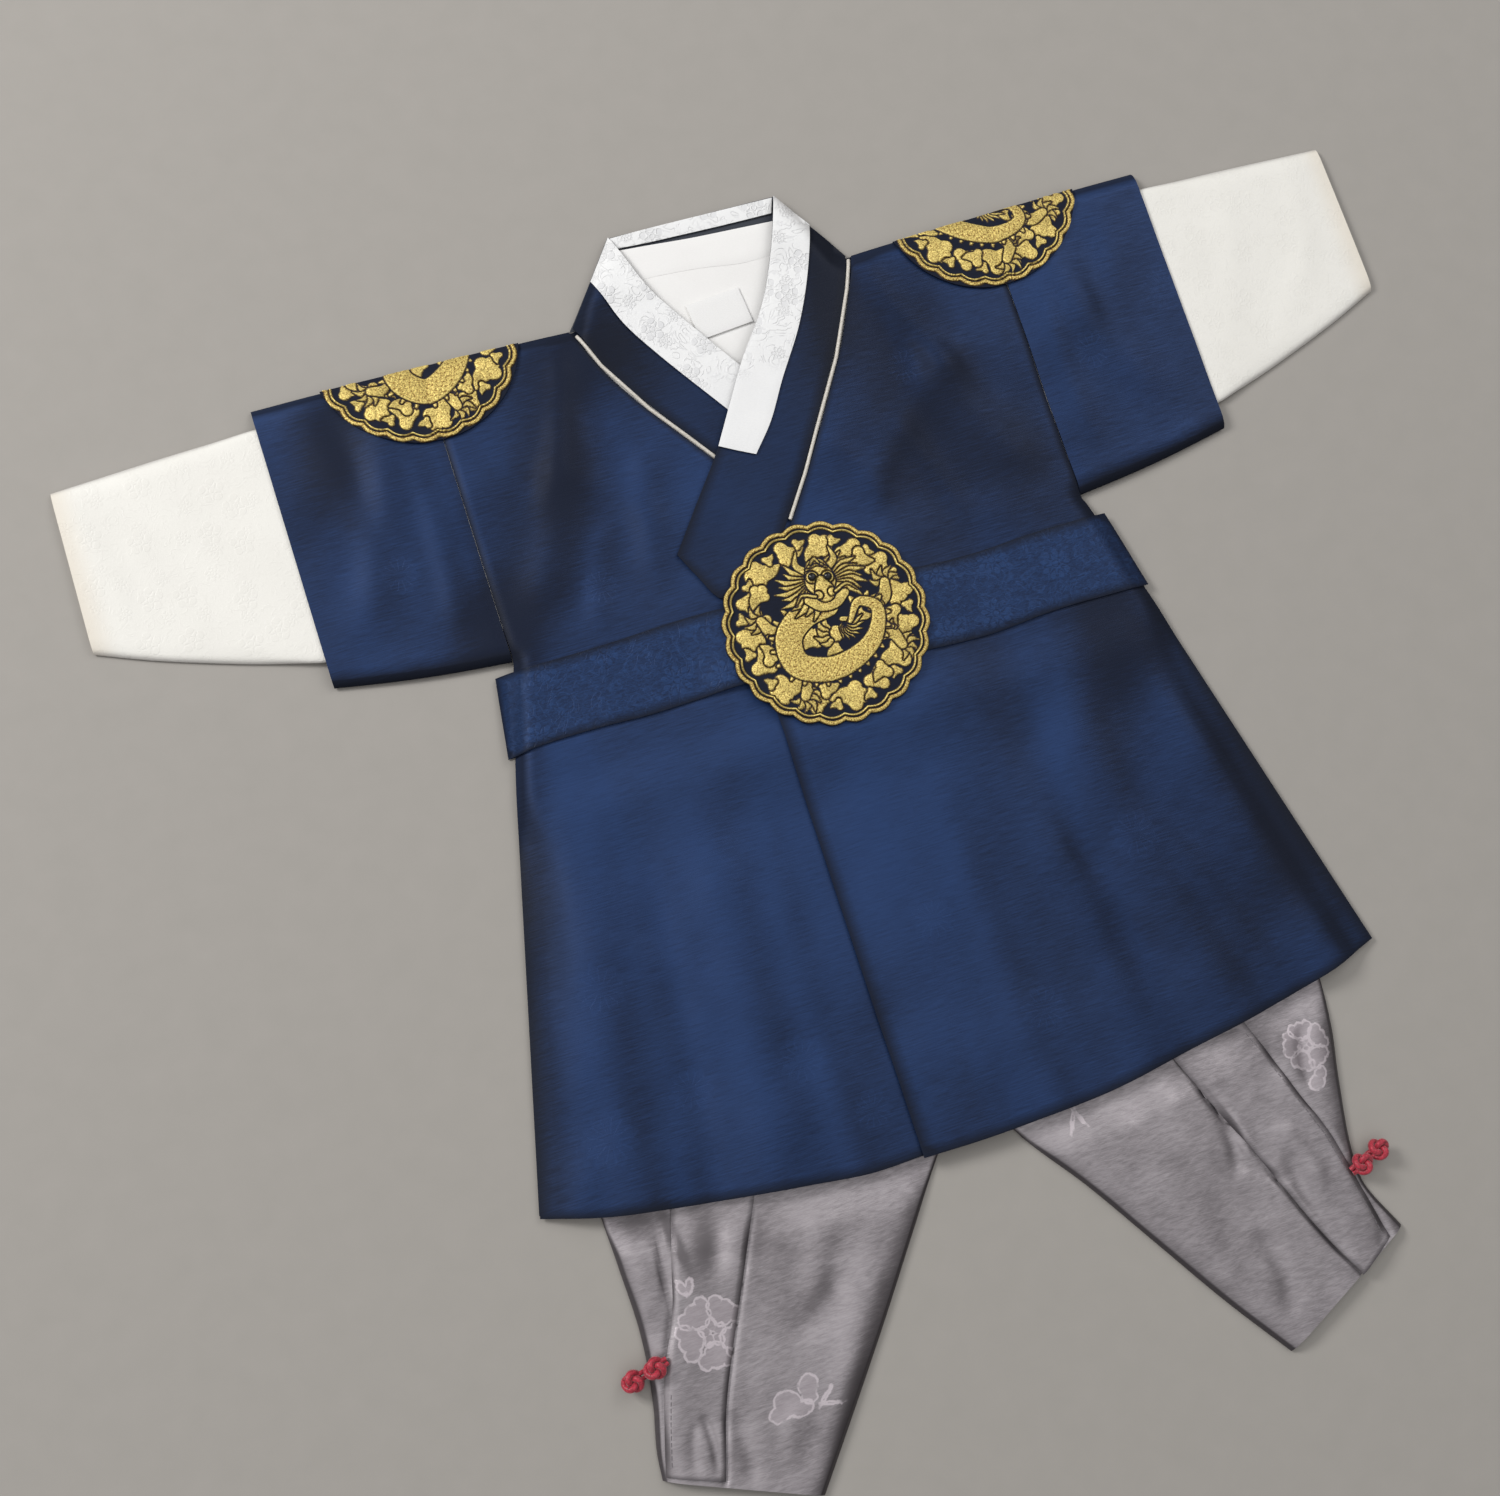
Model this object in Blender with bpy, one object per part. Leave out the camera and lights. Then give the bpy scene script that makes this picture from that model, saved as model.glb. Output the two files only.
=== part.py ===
# A child's royal-robe hanbok laid flat: navy robe with belt, white inner shirt, grey trousers.
# Millimetres in the tables. X runs to the wearer's left, Y to the collar, Z up from the surface.
import math

import bmesh
import bpy

# Cloth
cloth = 1.2
thin = 1.0
gap = 0.3

# Robe cut
neck_x = 80.0
neck_y = 0.0
shoulder_rise = 0.023
armhole_x = 162.0
underarm_y = -166.0
sleeve_end_x = 254.5
sleeve_end_y = -152.5
waist_x = 180.5
waist_y = -232.0
hem_x = 233.0
hem_y = -444.0
hem_line = [(0.0, -477.5), (40.0, -476.5), (71.0, -475.0), (154.0, -462.5), (200.0, -454.0), (233.0, -444.0)]
free_edge_x = -38.0
under_edge_x = 40.0

# Collar, bands and neck, from the shoulder down
seam_left = [(82.2, 0.7), (73.9, -19.3), (55.1, -55.8), (30.4, -93.6), (18.1, -113.0), (1.1, -136.7), (-16.0, -160.0)]
seam_right = [(-78.0, -0.9), (-68.9, -24.1), (-50.9, -55.2), (-34.7, -77.3), (-25.9, -89.6), (-8.0, -114.0), (22.0, -158.0)]
neckline = [(-80.0, 0.0), (-40.0, -3.6), (0.0, -5.0), (40.0, -3.6), (80.0, 0.0)]
inner_left = [(52.3, 44.6), (43.6, 21.5), (25.5, -15.5), (3.3, -45.4), (-10.0, -66.0), (-22.8, -86.2), (-43.0, -112.0), (-62.2, -136.6)]
inner_right = [(-43.3, 45.4), (-33.0, 15.7), (-21.1, -6.1), (-10.3, -23.7), (3.3, -45.4), (20.0, -72.0), (38.0, -102.0)]
neck_top_left = (52.5, 45.0)
neck_top_right = (-43.5, 46.0)
strip_low = [(-42.6, 38.4), (-15.0, 36.4), (15.0, 35.6), (49.0, 35.6)]
shirt_top = [(-44.5, 36.4), (-15.0, 34.2), (15.0, 32.6), (51.0, 30.6)]
shirt_seam = [(-50.0, 19.0), (-35.5, 18.8), (-8.9, 17.5), (25.3, 12.8), (38.4, 12.9), (57.0, 14.0)]
cord_radius = 1.0

# Inner shirt
shirt_armhole_x = 150.0
shirt_top_y = -12.0
shirt_hem_y = -229.0
cuff_x = 365.0
shirt_sleeve_top = [(150.0, -9.5), (200.0, -8.0), (254.0, -6.5), (300.0, -7.5), (365.0, -10.5)]
shirt_sleeve_low = [(150.0, -150.0), (200.0, -146.5), (256.0, -138.0), (292.0, -127.6), (322.0, -117.5), (345.0, -109.0), (366.5, -99.8)]

# Belt
belt_top = [(-173.0, -172.0), (-149.2, -172.4), (-93.2, -171.0), (-50.3, -171.9), (65.6, -180.3), (97.9, -181.6), (146.2, -179.1), (172.5, -179.5)]
belt_low = [(-180.5, -215.1), (-160.0, -213.5), (-107.1, -214.5), (-53.2, -214.4), (51.3, -225.6), (82.3, -226.2), (130.0, -224.4), (181.5, -224.3)]

# Embroidered roundels
roundel_radius = 56.0
chest_centre = (2.2, -195.2)
shoulder_centre_x = 162.5
shoulder_centre_drop = 13.0
lobes = 20
lobe_depth = 0.9
stitch_height = 0.9

# Trousers, right leg as laid and left leg as laid: inner edge, outer edge
waistband_y = -263.0
waistband_depth = 28.0
waistband_x = 122.0
leg_right = [
    ((-0.3, -291.5), (-128.0, -291.5)),
    ((-0.3, -350.0), (-172.0, -350.0)),
    ((-0.3, -410.0), (-198.0, -408.0)),
    ((-4.0, -448.0), (-203.4, -446.0)),
    ((-31.1, -480.0), (-202.8, -478.0)),
    ((-57.0, -514.0), (-202.2, -514.0)),
    ((-84.0, -549.5), (-206.0, -546.0)),
    ((-112.0, -585.0), (-211.5, -570.0)),
    ((-138.2, -617.7), (-213.0, -584.5)),
]
leg_left = [
    ((0.3, -291.5), (128.0, -291.5)),
    ((0.3, -350.0), (172.0, -350.0)),
    ((0.3, -410.0), (196.0, -408.0)),
    ((1.0, -450.0), (198.5, -446.0)),
    ((14.5, -481.0), (195.6, -477.4)),
    ((40.0, -517.0), (189.0, -508.0)),
    ((63.0, -553.0), (183.0, -540.0)),
    ((89.0, -594.0), (182.5, -563.0)),
    ((114.6, -630.5), (194.0, -589.5)),
]
flap_right = [
    ((-166.5, -452.0), (-120.5, -455.0)),
    ((-176.0, -482.0), (-134.0, -482.0)),
    ((-184.5, -510.0), (-149.0, -512.0)),
    ((-196.0, -534.0), (-160.5, -535.0)),
    ((-204.5, -560.0), (-172.0, -560.0)),
    ((-210.0, -581.5), (-182.0, -589.5)),
]
flap_left = [
    ((145.0, -452.0), (100.5, -456.0)),
    ((154.5, -480.0), (110.5, -482.0)),
    ((163.5, -508.0), (121.5, -509.0)),
    ((172.0, -531.0), (132.5, -535.0)),
    ((177.5, -556.0), (146.0, -569.0)),
    ((184.5, -592.5), (163.5, -606.0)),
]
knots_right = [(-212.8, -533.9, 193.7), (-200.5, -530.9, 193.7)]
knots_left = [(194.5, -548.3, 19.3), (182.8, -552.4, 19.3)]
knot_radius = 6.4

# Largest soft folds of the robe: foot and head of each ridge, half width, height
ridges = [
    (116.0, -240.0, 152.0, -462.0, 22.0, 1.9),
    (68.0, -300.0, 84.0, -474.0, 18.0, 1.0),
    (170.0, -262.0, 200.0, -452.0, 17.0, 1.3),
    (-96.0, -240.0, -118.0, -470.0, 23.0, 1.8),
    (-150.0, -252.0, -182.0, -458.0, 20.0, 1.5),
    (-148.0, -150.0, -104.0, -74.0, 18.0, 1.5),
    (146.0, -152.0, 112.0, -84.0, 18.0, 1.4),
    (-232.0, -132.0, -196.0, -40.0, 15.0, 1.0),
    (226.0, -128.0, 196.0, -52.0, 15.0, 1.0),
]

navy = (0.010, 0.036, 0.130)
navy_belt = (0.014, 0.055, 0.190)
white = (0.72, 0.72, 0.69)
ivory = (0.62, 0.57, 0.46)
gold = (0.52, 0.34, 0.07)
grey = (0.150, 0.140, 0.150)
red = (0.42, 0.015, 0.035)

built = []


# Plain geometry

def smooth(t):
    t = min(max(t, 0.0), 1.0)
    return t * t * (3.0 - 2.0 * t)


def mix(a, b, t):
    return a + (b - a) * t


def between(p, q, t):
    return (mix(p[0], q[0], t), mix(p[1], q[1], t))


def spread(p, q, count):
    return [between(p, q, i / (count - 1)) for i in range(count)]


def along(points, share):
    lengths = [math.dist(points[i], points[i + 1]) for i in range(len(points) - 1)]
    left = share * sum(lengths)
    for i, length in enumerate(lengths):
        if left <= length or i == len(lengths) - 1:
            return between(points[i], points[i + 1], left / length)
        left -= length


def resample(points, count):
    return [along(points, i / (count - 1)) for i in range(count)]


def read_line(points, value, axis):
    other = 1 - axis
    rows = sorted(points, key=lambda p: p[axis])
    for i in range(len(rows) - 1):
        a, b = rows[i], rows[i + 1]
        if value <= b[axis] or i == len(rows) - 2:
            return mix(a[other], b[other], (value - a[axis]) / (b[axis] - a[axis]))


def distance(points, x, y):
    best = 1e9
    for i in range(len(points) - 1):
        ax, ay = points[i]
        bx, by = points[i + 1]
        dx, dy = bx - ax, by - ay
        t = ((x - ax) * dx + (y - ay) * dy) / (dx * dx + dy * dy)
        t = min(max(t, 0.0), 1.0)
        best = min(best, math.hypot(x - ax - t * dx, y - ay - t * dy))
    return best


def steps(value, table):
    return read_line(table, min(max(value, table[0][0]), table[-1][0]), 0)


# Outline of the robe

def shoulder_y(x):
    return neck_y + shoulder_rise * (abs(x) - neck_x)


def hem_at(x):
    return read_line(hem_line, min(abs(x), hem_x), 0)


def side_x(y):
    if y > waist_y:
        return mix(armhole_x, waist_x, min(max((underarm_y - y) / (underarm_y - waist_y), 0.0), 1.0))
    return mix(waist_x, hem_x, (waist_y - y) / (waist_y - hem_y))


def sleeve_low_y(x):
    return mix(underarm_y, sleeve_end_y, (abs(x) - armhole_x) / (sleeve_end_x - armhole_x)) - 1.5 * math.sin(
        math.pi * min(max((abs(x) - armhole_x) / (sleeve_end_x - armhole_x), 0.0), 1.0))


# How far cloth has risen at a distance from a folded or sewn edge
fold_rise = [(0.0, 0.0), (4.0, 0.62), (10.0, 1.0)]
neck_rise = [(0.0, 0.0), (6.0, 0.6), (13.0, 1.0)]
side_rise = [(0.0, 0.0), (0.31, 0.42), (1.0, 1.0)]


def side_run(y):
    return mix(10.0, 26.0, smooth((waist_y - y) / 60.0))


def edge_share(x, y):
    share = 1.0
    if abs(x) > 70.0:
        share = steps(shoulder_y(x) - y, fold_rise)
    if abs(x) < 100.0 and y > -40.0:
        line = [(-neck_x, neck_y), neck_top_right, neck_top_left, (neck_x, neck_y)]
        near = steps(distance(line, x, y), neck_rise)
        blend = smooth((abs(x) - 70.0) / 12.0) if y < neck_y else 0.0
        share = mix(near, share, blend)
    if abs(x) > armhole_x:
        share *= steps(y - sleeve_low_y(x), fold_rise) if y > underarm_y else 0.0
    if y < underarm_y:
        share = steps((side_x(y) - abs(x)) / side_run(y), side_rise)
    elif abs(x) <= armhole_x:
        share = min(share, steps(math.hypot(armhole_x - abs(x), y - underarm_y) / 10.0, side_rise))
    return share


# Height of what lies under the robe's back: belt, trousers, folded roundels, neck band
def base(x, y):
    height = 1.3 * smooth((-140.0 - y) / 26.0) * (1.0 - smooth((waist_y - y) / 30.0))
    lift = 3.2 + 1.5 * smooth((-400.0 - y) / 40.0)
    height += lift * smooth((-230.0 - y) / 30.0) * smooth((side_x(y) - abs(x)) / 28.0)
    fold = math.hypot(abs(x) - shoulder_centre_x, y + shoulder_centre_drop - shoulder_y(x))
    height += 1.7 * smooth((98.0 - fold) / 40.0) * smooth((y + 140.0) / 30.0)
    if abs(x) < 90.0:
        height += 1.3 * smooth((y - 2.0) / 14.0)
    return height


def ridge_height(x, y):
    height = 0.0
    for ax, ay, bx, by, width, rise in ridges:
        dx, dy = bx - ax, by - ay
        length = math.hypot(dx, dy)
        t = ((x - ax) * dx + (y - ay) * dy) / (length * length)
        off = abs((x - ax) * dy - (y - ay) * dx) / length
        ends = smooth(t / 0.35) * smooth((1.3 - t) / 0.3)
        height += rise * ends * math.exp(-(off / width) ** 2)
    return height


def neck_share(x, y):
    return 1.0 - 0.36 * smooth((y + 45.0) / 60.0) * (1.0 - smooth((abs(x) - 45.0) / 25.0))


def over_share(x):
    return 1.0 - smooth((x - 40.0) / 60.0)


def level(x, y, over):
    shirt = smooth((y + 290.0) / 50.0)
    if over:
        crossing = smooth((y + 135.0) / 42.0)
        full = 4.7 + (3.3 + 1.5 * crossing) * over_share(x)
        skirt = 2.2 + 1.9 * over_share(x)
    else:
        full = 4.7 + 1.4 * smooth((x + 100.0) / 55.0)
        skirt = 2.2
    full = mix(skirt, full, shirt) + ridge_height(x, y)
    return base(x, y) + 1.5 + (full - 1.5) * edge_share(x, y) * neck_share(x, y)


def level_left(x, y):
    return level(x, y, True)


def level_right(x, y):
    return level(x, y, False)


def raised(surface, amount):
    return lambda x, y: surface(x, y) + amount


# Solids

def paint(name, colour, roughness, metallic):
    material = bpy.data.materials.new(name)
    material.use_nodes = True
    shader = material.node_tree.nodes["Principled BSDF"]
    shader.inputs["Base Color"].default_value = (colour[0], colour[1], colour[2], 1.0)
    shader.inputs["Roughness"].default_value = roughness
    shader.inputs["Metallic"].default_value = metallic
    return material


def solid(name, points, faces, colour, roughness=0.5, metallic=0.0):
    mesh = bpy.data.meshes.new(name)
    mesh.from_pydata([(p[0] * 0.001, p[1] * 0.001, p[2] * 0.001) for p in points], [], faces)
    body = bmesh.new()
    body.from_mesh(mesh)
    bmesh.ops.recalc_face_normals(body, faces=body.faces)
    body.to_mesh(mesh)
    body.free()
    for face in mesh.polygons:
        face.use_smooth = True
    thing = bpy.data.objects.new(name, mesh)
    bpy.context.scene.collection.objects.link(thing)
    mesh.materials.append(paint(name + "_cloth", colour, roughness, metallic))
    built.append(thing)
    return thing


def sheet(name, grid, low, thickness, colour, roughness=0.5, metallic=0.0):
    rows, columns = len(grid), len(grid[0])
    points = []
    for row in grid:
        points += [(x, y, low(x, y)) for x, y in row]
    for row in grid:
        for x, y in row:
            wall = thickness(x, y) if callable(thickness) else thickness
            points.append((x, y, low(x, y) + wall))
    top = rows * columns
    faces = []
    for i in range(rows - 1):
        for j in range(columns - 1):
            a = i * columns + j
            faces.append((a, a + columns, a + columns + 1, a + 1))
            faces.append((top + a, top + a + 1, top + a + columns + 1, top + a + columns))
    rim = [j for j in range(columns)]
    rim += [i * columns + columns - 1 for i in range(1, rows)]
    rim += [(rows - 1) * columns + j for j in range(columns - 2, -1, -1)]
    rim += [i * columns for i in range(rows - 2, 0, -1)]
    for k, a in enumerate(rim):
        b = rim[(k + 1) % len(rim)]
        faces.append((a, b, top + b, top + a))
    return solid(name, points, faces, colour, roughness, metallic)


def ring(start, end, marks, low, high, wall, inside):
    width = math.dist(start, end)

    def at(d, z):
        x, y = between(start, end, d / width)
        return (x, y, z(x, y))

    inset = wall + 0.1 if inside else 0.0
    nip = 0.7 if inside else 0.0
    floor = raised(low, wall if inside else 0.0)
    roof = raised(high, 0.0 if inside else wall)
    near = [max(d, inset + 0.5) if d < width / 2 else min(d, width - inset - 0.5) for d in marks]
    loop = [at(d, floor) for d in near]
    for side, share in ((width - inset, 0.35 + nip * 0.1), (width - inset, 0.65 - nip * 0.1)):
        loop.append(at(side, lambda x, y, s=share: mix(floor(x, y), roof(x, y), s)))
    loop += [at(d, roof) for d in reversed(near)]
    for side, share in ((inset, 0.65 - nip * 0.1), (inset, 0.35 + nip * 0.1)):
        loop.append(at(side, lambda x, y, s=share: mix(floor(x, y), roof(x, y), s)))
    return loop


def tube(name, stations, marks, low, high, wall, colour, roughness=0.5):
    outer = [ring(a, b, marks(math.dist(a, b)), low, high, wall, False) for a, b in stations]
    inner = [ring(a, b, marks(math.dist(a, b)), low, high, wall, True) for a, b in stations]
    count = len(outer[0])
    points = [p for loop in outer for p in loop] + [p for loop in inner for p in loop]
    shift = len(outer) * count
    last = (len(outer) - 1) * count
    faces = []
    for j in range(count):
        k = (j + 1) % count
        for i in range(len(outer) - 1):
            a, b = i * count + j, i * count + k
            faces.append((a, b, b + count, a + count))
            faces.append((shift + a, shift + a + count, shift + b + count, shift + b))
        faces.append((j, k, shift + k, shift + j))
        faces.append((last + j, last + k, shift + last + k, shift + last + j))
    return solid(name, points, faces, colour, roughness)


def edge_marks(inner_count):
    def marks(width):
        middle = [10.0 + (width - 20.0) * i / (inner_count - 1) for i in range(inner_count)]
        return [1.0, 4.0] + middle + [width - 4.0, width - 1.0]
    return marks


# Robe

def side_columns(start, edge, count, run):
    reach = abs(edge[0] - start[0])
    marks = [(reach - run) / reach * i / (count - 1) for i in range(count)]
    marks += [(reach - 0.31 * run) / reach, 1.0]
    return [between(start, edge, t) for t in marks]


def skirt_row(share, x_start, side, count):
    x_end = side * mix(waist_x, hem_x, share)
    run = side_run(mix(waist_y, hem_y, share))
    row = side_columns((x_start, 0.0), (x_end, 0.0), count, run)
    return [(x, waist_y + share * (hem_at(x / mix(waist_x, hem_x, share) * hem_x) - waist_y)) for x, _ in row]


skirt_shares = [0.0, 0.12, 0.25, 0.42, 0.6, 0.8, 1.0]


def robe_back():
    rows = []
    for drop in (0.0, 12.0, 30.0, 55.0, 85.0, 115.0, 142.0, shoulder_y(armhole_x) - underarm_y + 0.25):
        half = []
        for x in (0.0, 40.0, 75.0, 100.0, 125.0, 150.0, armhole_x - 0.15):
            start = shoulder_y(x) if x > neck_x else read_line(neckline, x, 0)
            target = shoulder_y(x) - drop
            fade = smooth(drop / 30.0)
            half.append((x, mix(start - drop, target, fade)))
        rows.append([(-x, y) for x, y in reversed(half[1:])] + half)
    for y in (-175.0, -200.0, waist_y):
        half = side_columns((0.0, y), (side_x(y), y), 5, 30.0)
        rows.append([(-x, y) for x, y in reversed(half[1:])] + half)
    for share in skirt_shares[1:]:
        half = skirt_row(share, 0.0, 1.0, 5)
        half = [(x, y + 1.5 * share) for x, y in half]
        rows.append([(-x, y) for x, y in reversed(half[1:])] + half)
    sheet("robe_back", rows, base, cloth, navy, 0.42)


def front_rows(seam, side, free_x, end):
    rows = []
    for drop in (0.0, 4.0, 10.0, 28.0, 50.0, 75.0, 100.0, 125.0, 150.0):
        y = -drop
        start = read_line(seam, y, 1) + side * 1.7
        rows.append(side_columns((start, y), (side * (armhole_x - 0.15), shoulder_y(armhole_x) - drop), 8, 10.0))
    corner = (side * (armhole_x - 0.15), underarm_y - 0.25)
    rows.append(side_columns((read_line(seam, -157.5, 1) + side * 1.7, -159.5), corner, 8, 10.0))
    for y in end:
        rows.append(side_columns((free_x(y), y), (side * side_x(y - 3.0), y - 3.0), 8, 10.0))
    for share in skirt_shares:
        rows.append(skirt_row(share, free_x(mix(waist_y, hem_y, share)), side, 8))
    return rows


def robe_front_left():
    def free_x(y):
        return mix(-46.5, free_edge_x, smooth((-168.0 - y) / 70.0))
    rows = front_rows(seam_left, 1.0, free_x, (-169.5, -185.0, -207.0))
    sheet("robe_front_left", rows, level_left, cloth, navy, 0.42)


def robe_front_right():
    def free_x(y):
        return mix(34.0, under_edge_x, smooth((-180.0 - y) / 40.0))
    rows = front_rows(seam_right, -1.0, free_x, (-172.0, -187.0, -207.0))
    rows = [[(x, y + 1.6 * smooth((x + 36.0) / 6.0) * smooth((-440.0 - y) / 30.0)) for x, y in row] for row in rows]
    sheet("robe_front_right", rows, level_right, cloth, navy, 0.42)


def robe_sleeve(side, word, surface):
    stations = []
    for x in (armhole_x + 0.15, 178.0, 196.0, 215.0, 235.0, sleeve_end_x):
        stations.append(((side * x, shoulder_y(x)), (side * x, sleeve_low_y(x))))
    tube("robe_sleeve_" + word, stations, edge_marks(7), base, surface, cloth, navy, 0.42)


# Collar

def with_fold_rows(rows):
    first, second = rows[0], rows[1]
    extra = [[between(a, b, t) for a, b in zip(first, second)] for t in (0.22, 0.48)]
    return [first] + extra + rows[1:]


def collar_rows_left():
    inner = inner_left
    outer = [seam_left[0]] + [along(seam_left, t) for t in (0.12, 0.3, 0.47, 0.59, 0.71, 0.85, 1.0)]
    rows = []
    for i, (a, b) in enumerate(zip(outer, inner)):
        if i:
            a = between(a, b, 1.35 / math.dist(a, b))
        rows.append(spread(a, b, 5))
    rows[0] = spread((80.6, 0.9), inner[0], 5)
    rows[-1] = [(-17.6, -160.6), (-31.0, -164.0), (-46.9, -166.8), (-55.5, -151.0), (-62.2, -136.6)]
    return with_fold_rows(rows)


def collar_rows_right():
    outer = [seam_right[0]] + [along(seam_right, t) for t in (0.13, 0.28, 0.42, 0.55, 0.72, 0.86)]
    rows = []
    for i, (a, b) in enumerate(zip(outer, inner_right)):
        if i:
            a = between(a, b, 1.35 / math.dist(a, b))
        rows.append(spread(a, b, 5))
    rows[0] = spread((-76.9, 1.6), inner_right[0], 5)
    return with_fold_rows(rows)


def collars():
    left = collar_rows_left()
    right = collar_rows_right()
    sheet("collar_left", left, level_left, cloth, navy, 0.42)
    sheet("collar_right", right, level_right, cloth, navy, 0.42)
    band = [row[2:] for row in left[:8]]
    band[7] = [(-4.6, -96.2), (-13.5, -91.5), (-22.8, -86.2)]
    sheet("neckband_left", band, raised(level_left, cloth + gap), thin, white, 0.45)
    sheet("neckband_right", [row[2:] for row in right[:8]], raised(level_right, cloth + gap), thin, white, 0.45)


def back_collar():
    rows = []
    for share in (0.0, 0.16, 0.34, 0.55, 0.78, 1.0):
        a = between((-neck_x + 0.8, neck_y + 0.3), neck_top_right, share)
        b = between((neck_x - 0.8, neck_y + 0.3), neck_top_left, share)
        fade = (1.0 - share) * (1.0 - share)
        rows.append([(x, y + fade * read_line(neckline, x, 0)) for x, y in spread(a, b, 9)])
    sheet("collar_back", rows, base, cloth, navy, 0.42)
    under = [spread((-58.0, 26.0), (62.0, 26.0), 5), spread((-44.5, 44.4), (51.5, 43.8), 5)]
    sheet("neckband_back_outer", under, lambda x, y: 0.0, thin, white, 0.45)
    strip = [resample(strip_low, 6), resample([(-42.9, 45.4), (52.0, 44.4)], 6)]
    strip[0][0] = (-40.4, 38.6)
    strip[1][0] = (-42.3, 45.2)
    strip[0][-1] = (48.4, 35.6)
    strip[1][-1] = (51.6, 44.2)
    sheet("neckband_back", strip, raised(base, cloth + gap), thin, white, 0.45)


def piping(name, seam, surface, length):
    path = [along(seam, 0.02 + (length - 0.02) * i / 9) for i in range(10)]
    points = []
    sides = 6
    for i, (x, y) in enumerate(path):
        a, b = path[max(i - 1, 0)], path[min(i + 1, 9)]
        dx, dy = b[0] - a[0], b[1] - a[1]
        run = math.hypot(dx, dy)
        nx, ny = -dy / run, dx / run
        z = surface(x, y) + 0.95
        for k in range(sides):
            turn = 2 * math.pi * (k + 0.5) / sides
            r = cord_radius * math.cos(turn)
            points.append((x + nx * r, y + ny * r, z + cord_radius * math.sin(turn)))
    faces = [tuple(range(sides)), tuple(reversed(range(9 * sides, 10 * sides)))]
    for i in range(9):
        for k in range(sides):
            a, b = i * sides + k, i * sides + (k + 1) % sides
            faces.append((a, b, b + sides, a + sides))
    solid(name, points, faces, ivory, 0.5)


# Belt

def belt_level(x, y):
    over = smooth((x + 76.0) / 27.0)
    height = mix(level_right(x, y), level_left(x, y), over) + cloth + 0.45
    beyond = abs(x) - side_x(y)
    if beyond > 0.0:
        full = base(0.0, -200.0) + 1.5 + cloth + 0.45
        height = mix(full, thin + gap, min(max((beyond - 0.5) / 2.8, 0.0), 1.0))
    return height


def belt():
    rows = []
    for share in (0.0, 0.25, 0.5, 0.75, 1.0):
        row = []
        y_end = mix(belt_top[0][1], belt_low[0][1], share)
        z_end = mix(belt_top[-1][1], belt_low[-1][1], share)
        right = side_x(y_end)
        left = side_x(z_end)
        marks = [-right - 3.4, -right - 1.9, -right - 0.5, -right + 3.1, -right + 10.0]
        marks += [-128.0, -105.0, -90.0, -76.0, -62.0, -49.0, -30.0, -10.0, 12.0, 34.0, 52.0, 70.0, 86.0, 102.0, 125.0]
        marks += [left - 10.0, left - 3.1, left + 0.5, left + 1.9, left + 3.4]
        for x in marks:
            row.append((x, mix(read_line(belt_top, x, 0), read_line(belt_low, x, 0), share)))
        rows.append(row)
    sheet("belt_front", rows, belt_level, thin, navy_belt, 0.5)
    back = []
    for share in (0.0, 1.0):
        y_end = mix(belt_top[0][1], belt_low[0][1], share)
        z_end = mix(belt_top[-1][1], belt_low[-1][1], share)
        back.append(spread((-side_x(y_end) - 3.4, y_end), (side_x(z_end) + 3.4, z_end), 9))
    sheet("belt_back", back, lambda x, y: 0.0, thin, navy_belt, 0.5)


# Roundels: coiled dragon among clouds inside a lobed cord rim

coil = [
    (0.06, 0.14), (-0.20, 0.11), (-0.40, -0.06), (-0.40, -0.30), (-0.14, -0.44),
    (0.18, -0.40), (0.42, -0.24), (0.50, 0.02), (0.36, 0.10), (0.22, -0.06),
]
head = (0.07, 0.37)
clouds = 13


def bump(d, width):
    return smooth((1.5 * width - d) / (0.8 * width))


def stitched(u, v):
    r = math.hypot(u, v)
    height = bump(abs(r - 0.95), 0.035)
    height = max(height, bump(distance(coil, u, v), 0.10))
    height = max(height, bump(math.hypot(u - head[0], v - head[1]), 0.17))
    for k in range(clouds):
        turn = 2 * math.pi * (k + 0.25) / clouds
        height = max(height, 0.85 * bump(math.hypot(u - 0.74 * math.cos(turn), v - 0.74 * math.sin(turn)), 0.095))
    return height


def rim_radius(turn):
    return roundel_radius - lobe_depth + lobe_depth * abs(math.cos(lobes * turn / 2)) * 2.0 - lobe_depth


def chest_low(x, y):
    near = smooth((y + 252.0) / 22.0) * smooth((-146.0 - y) / 22.0)
    return level_left(x, y) + cloth + 0.5 + 1.45 * near


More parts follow.
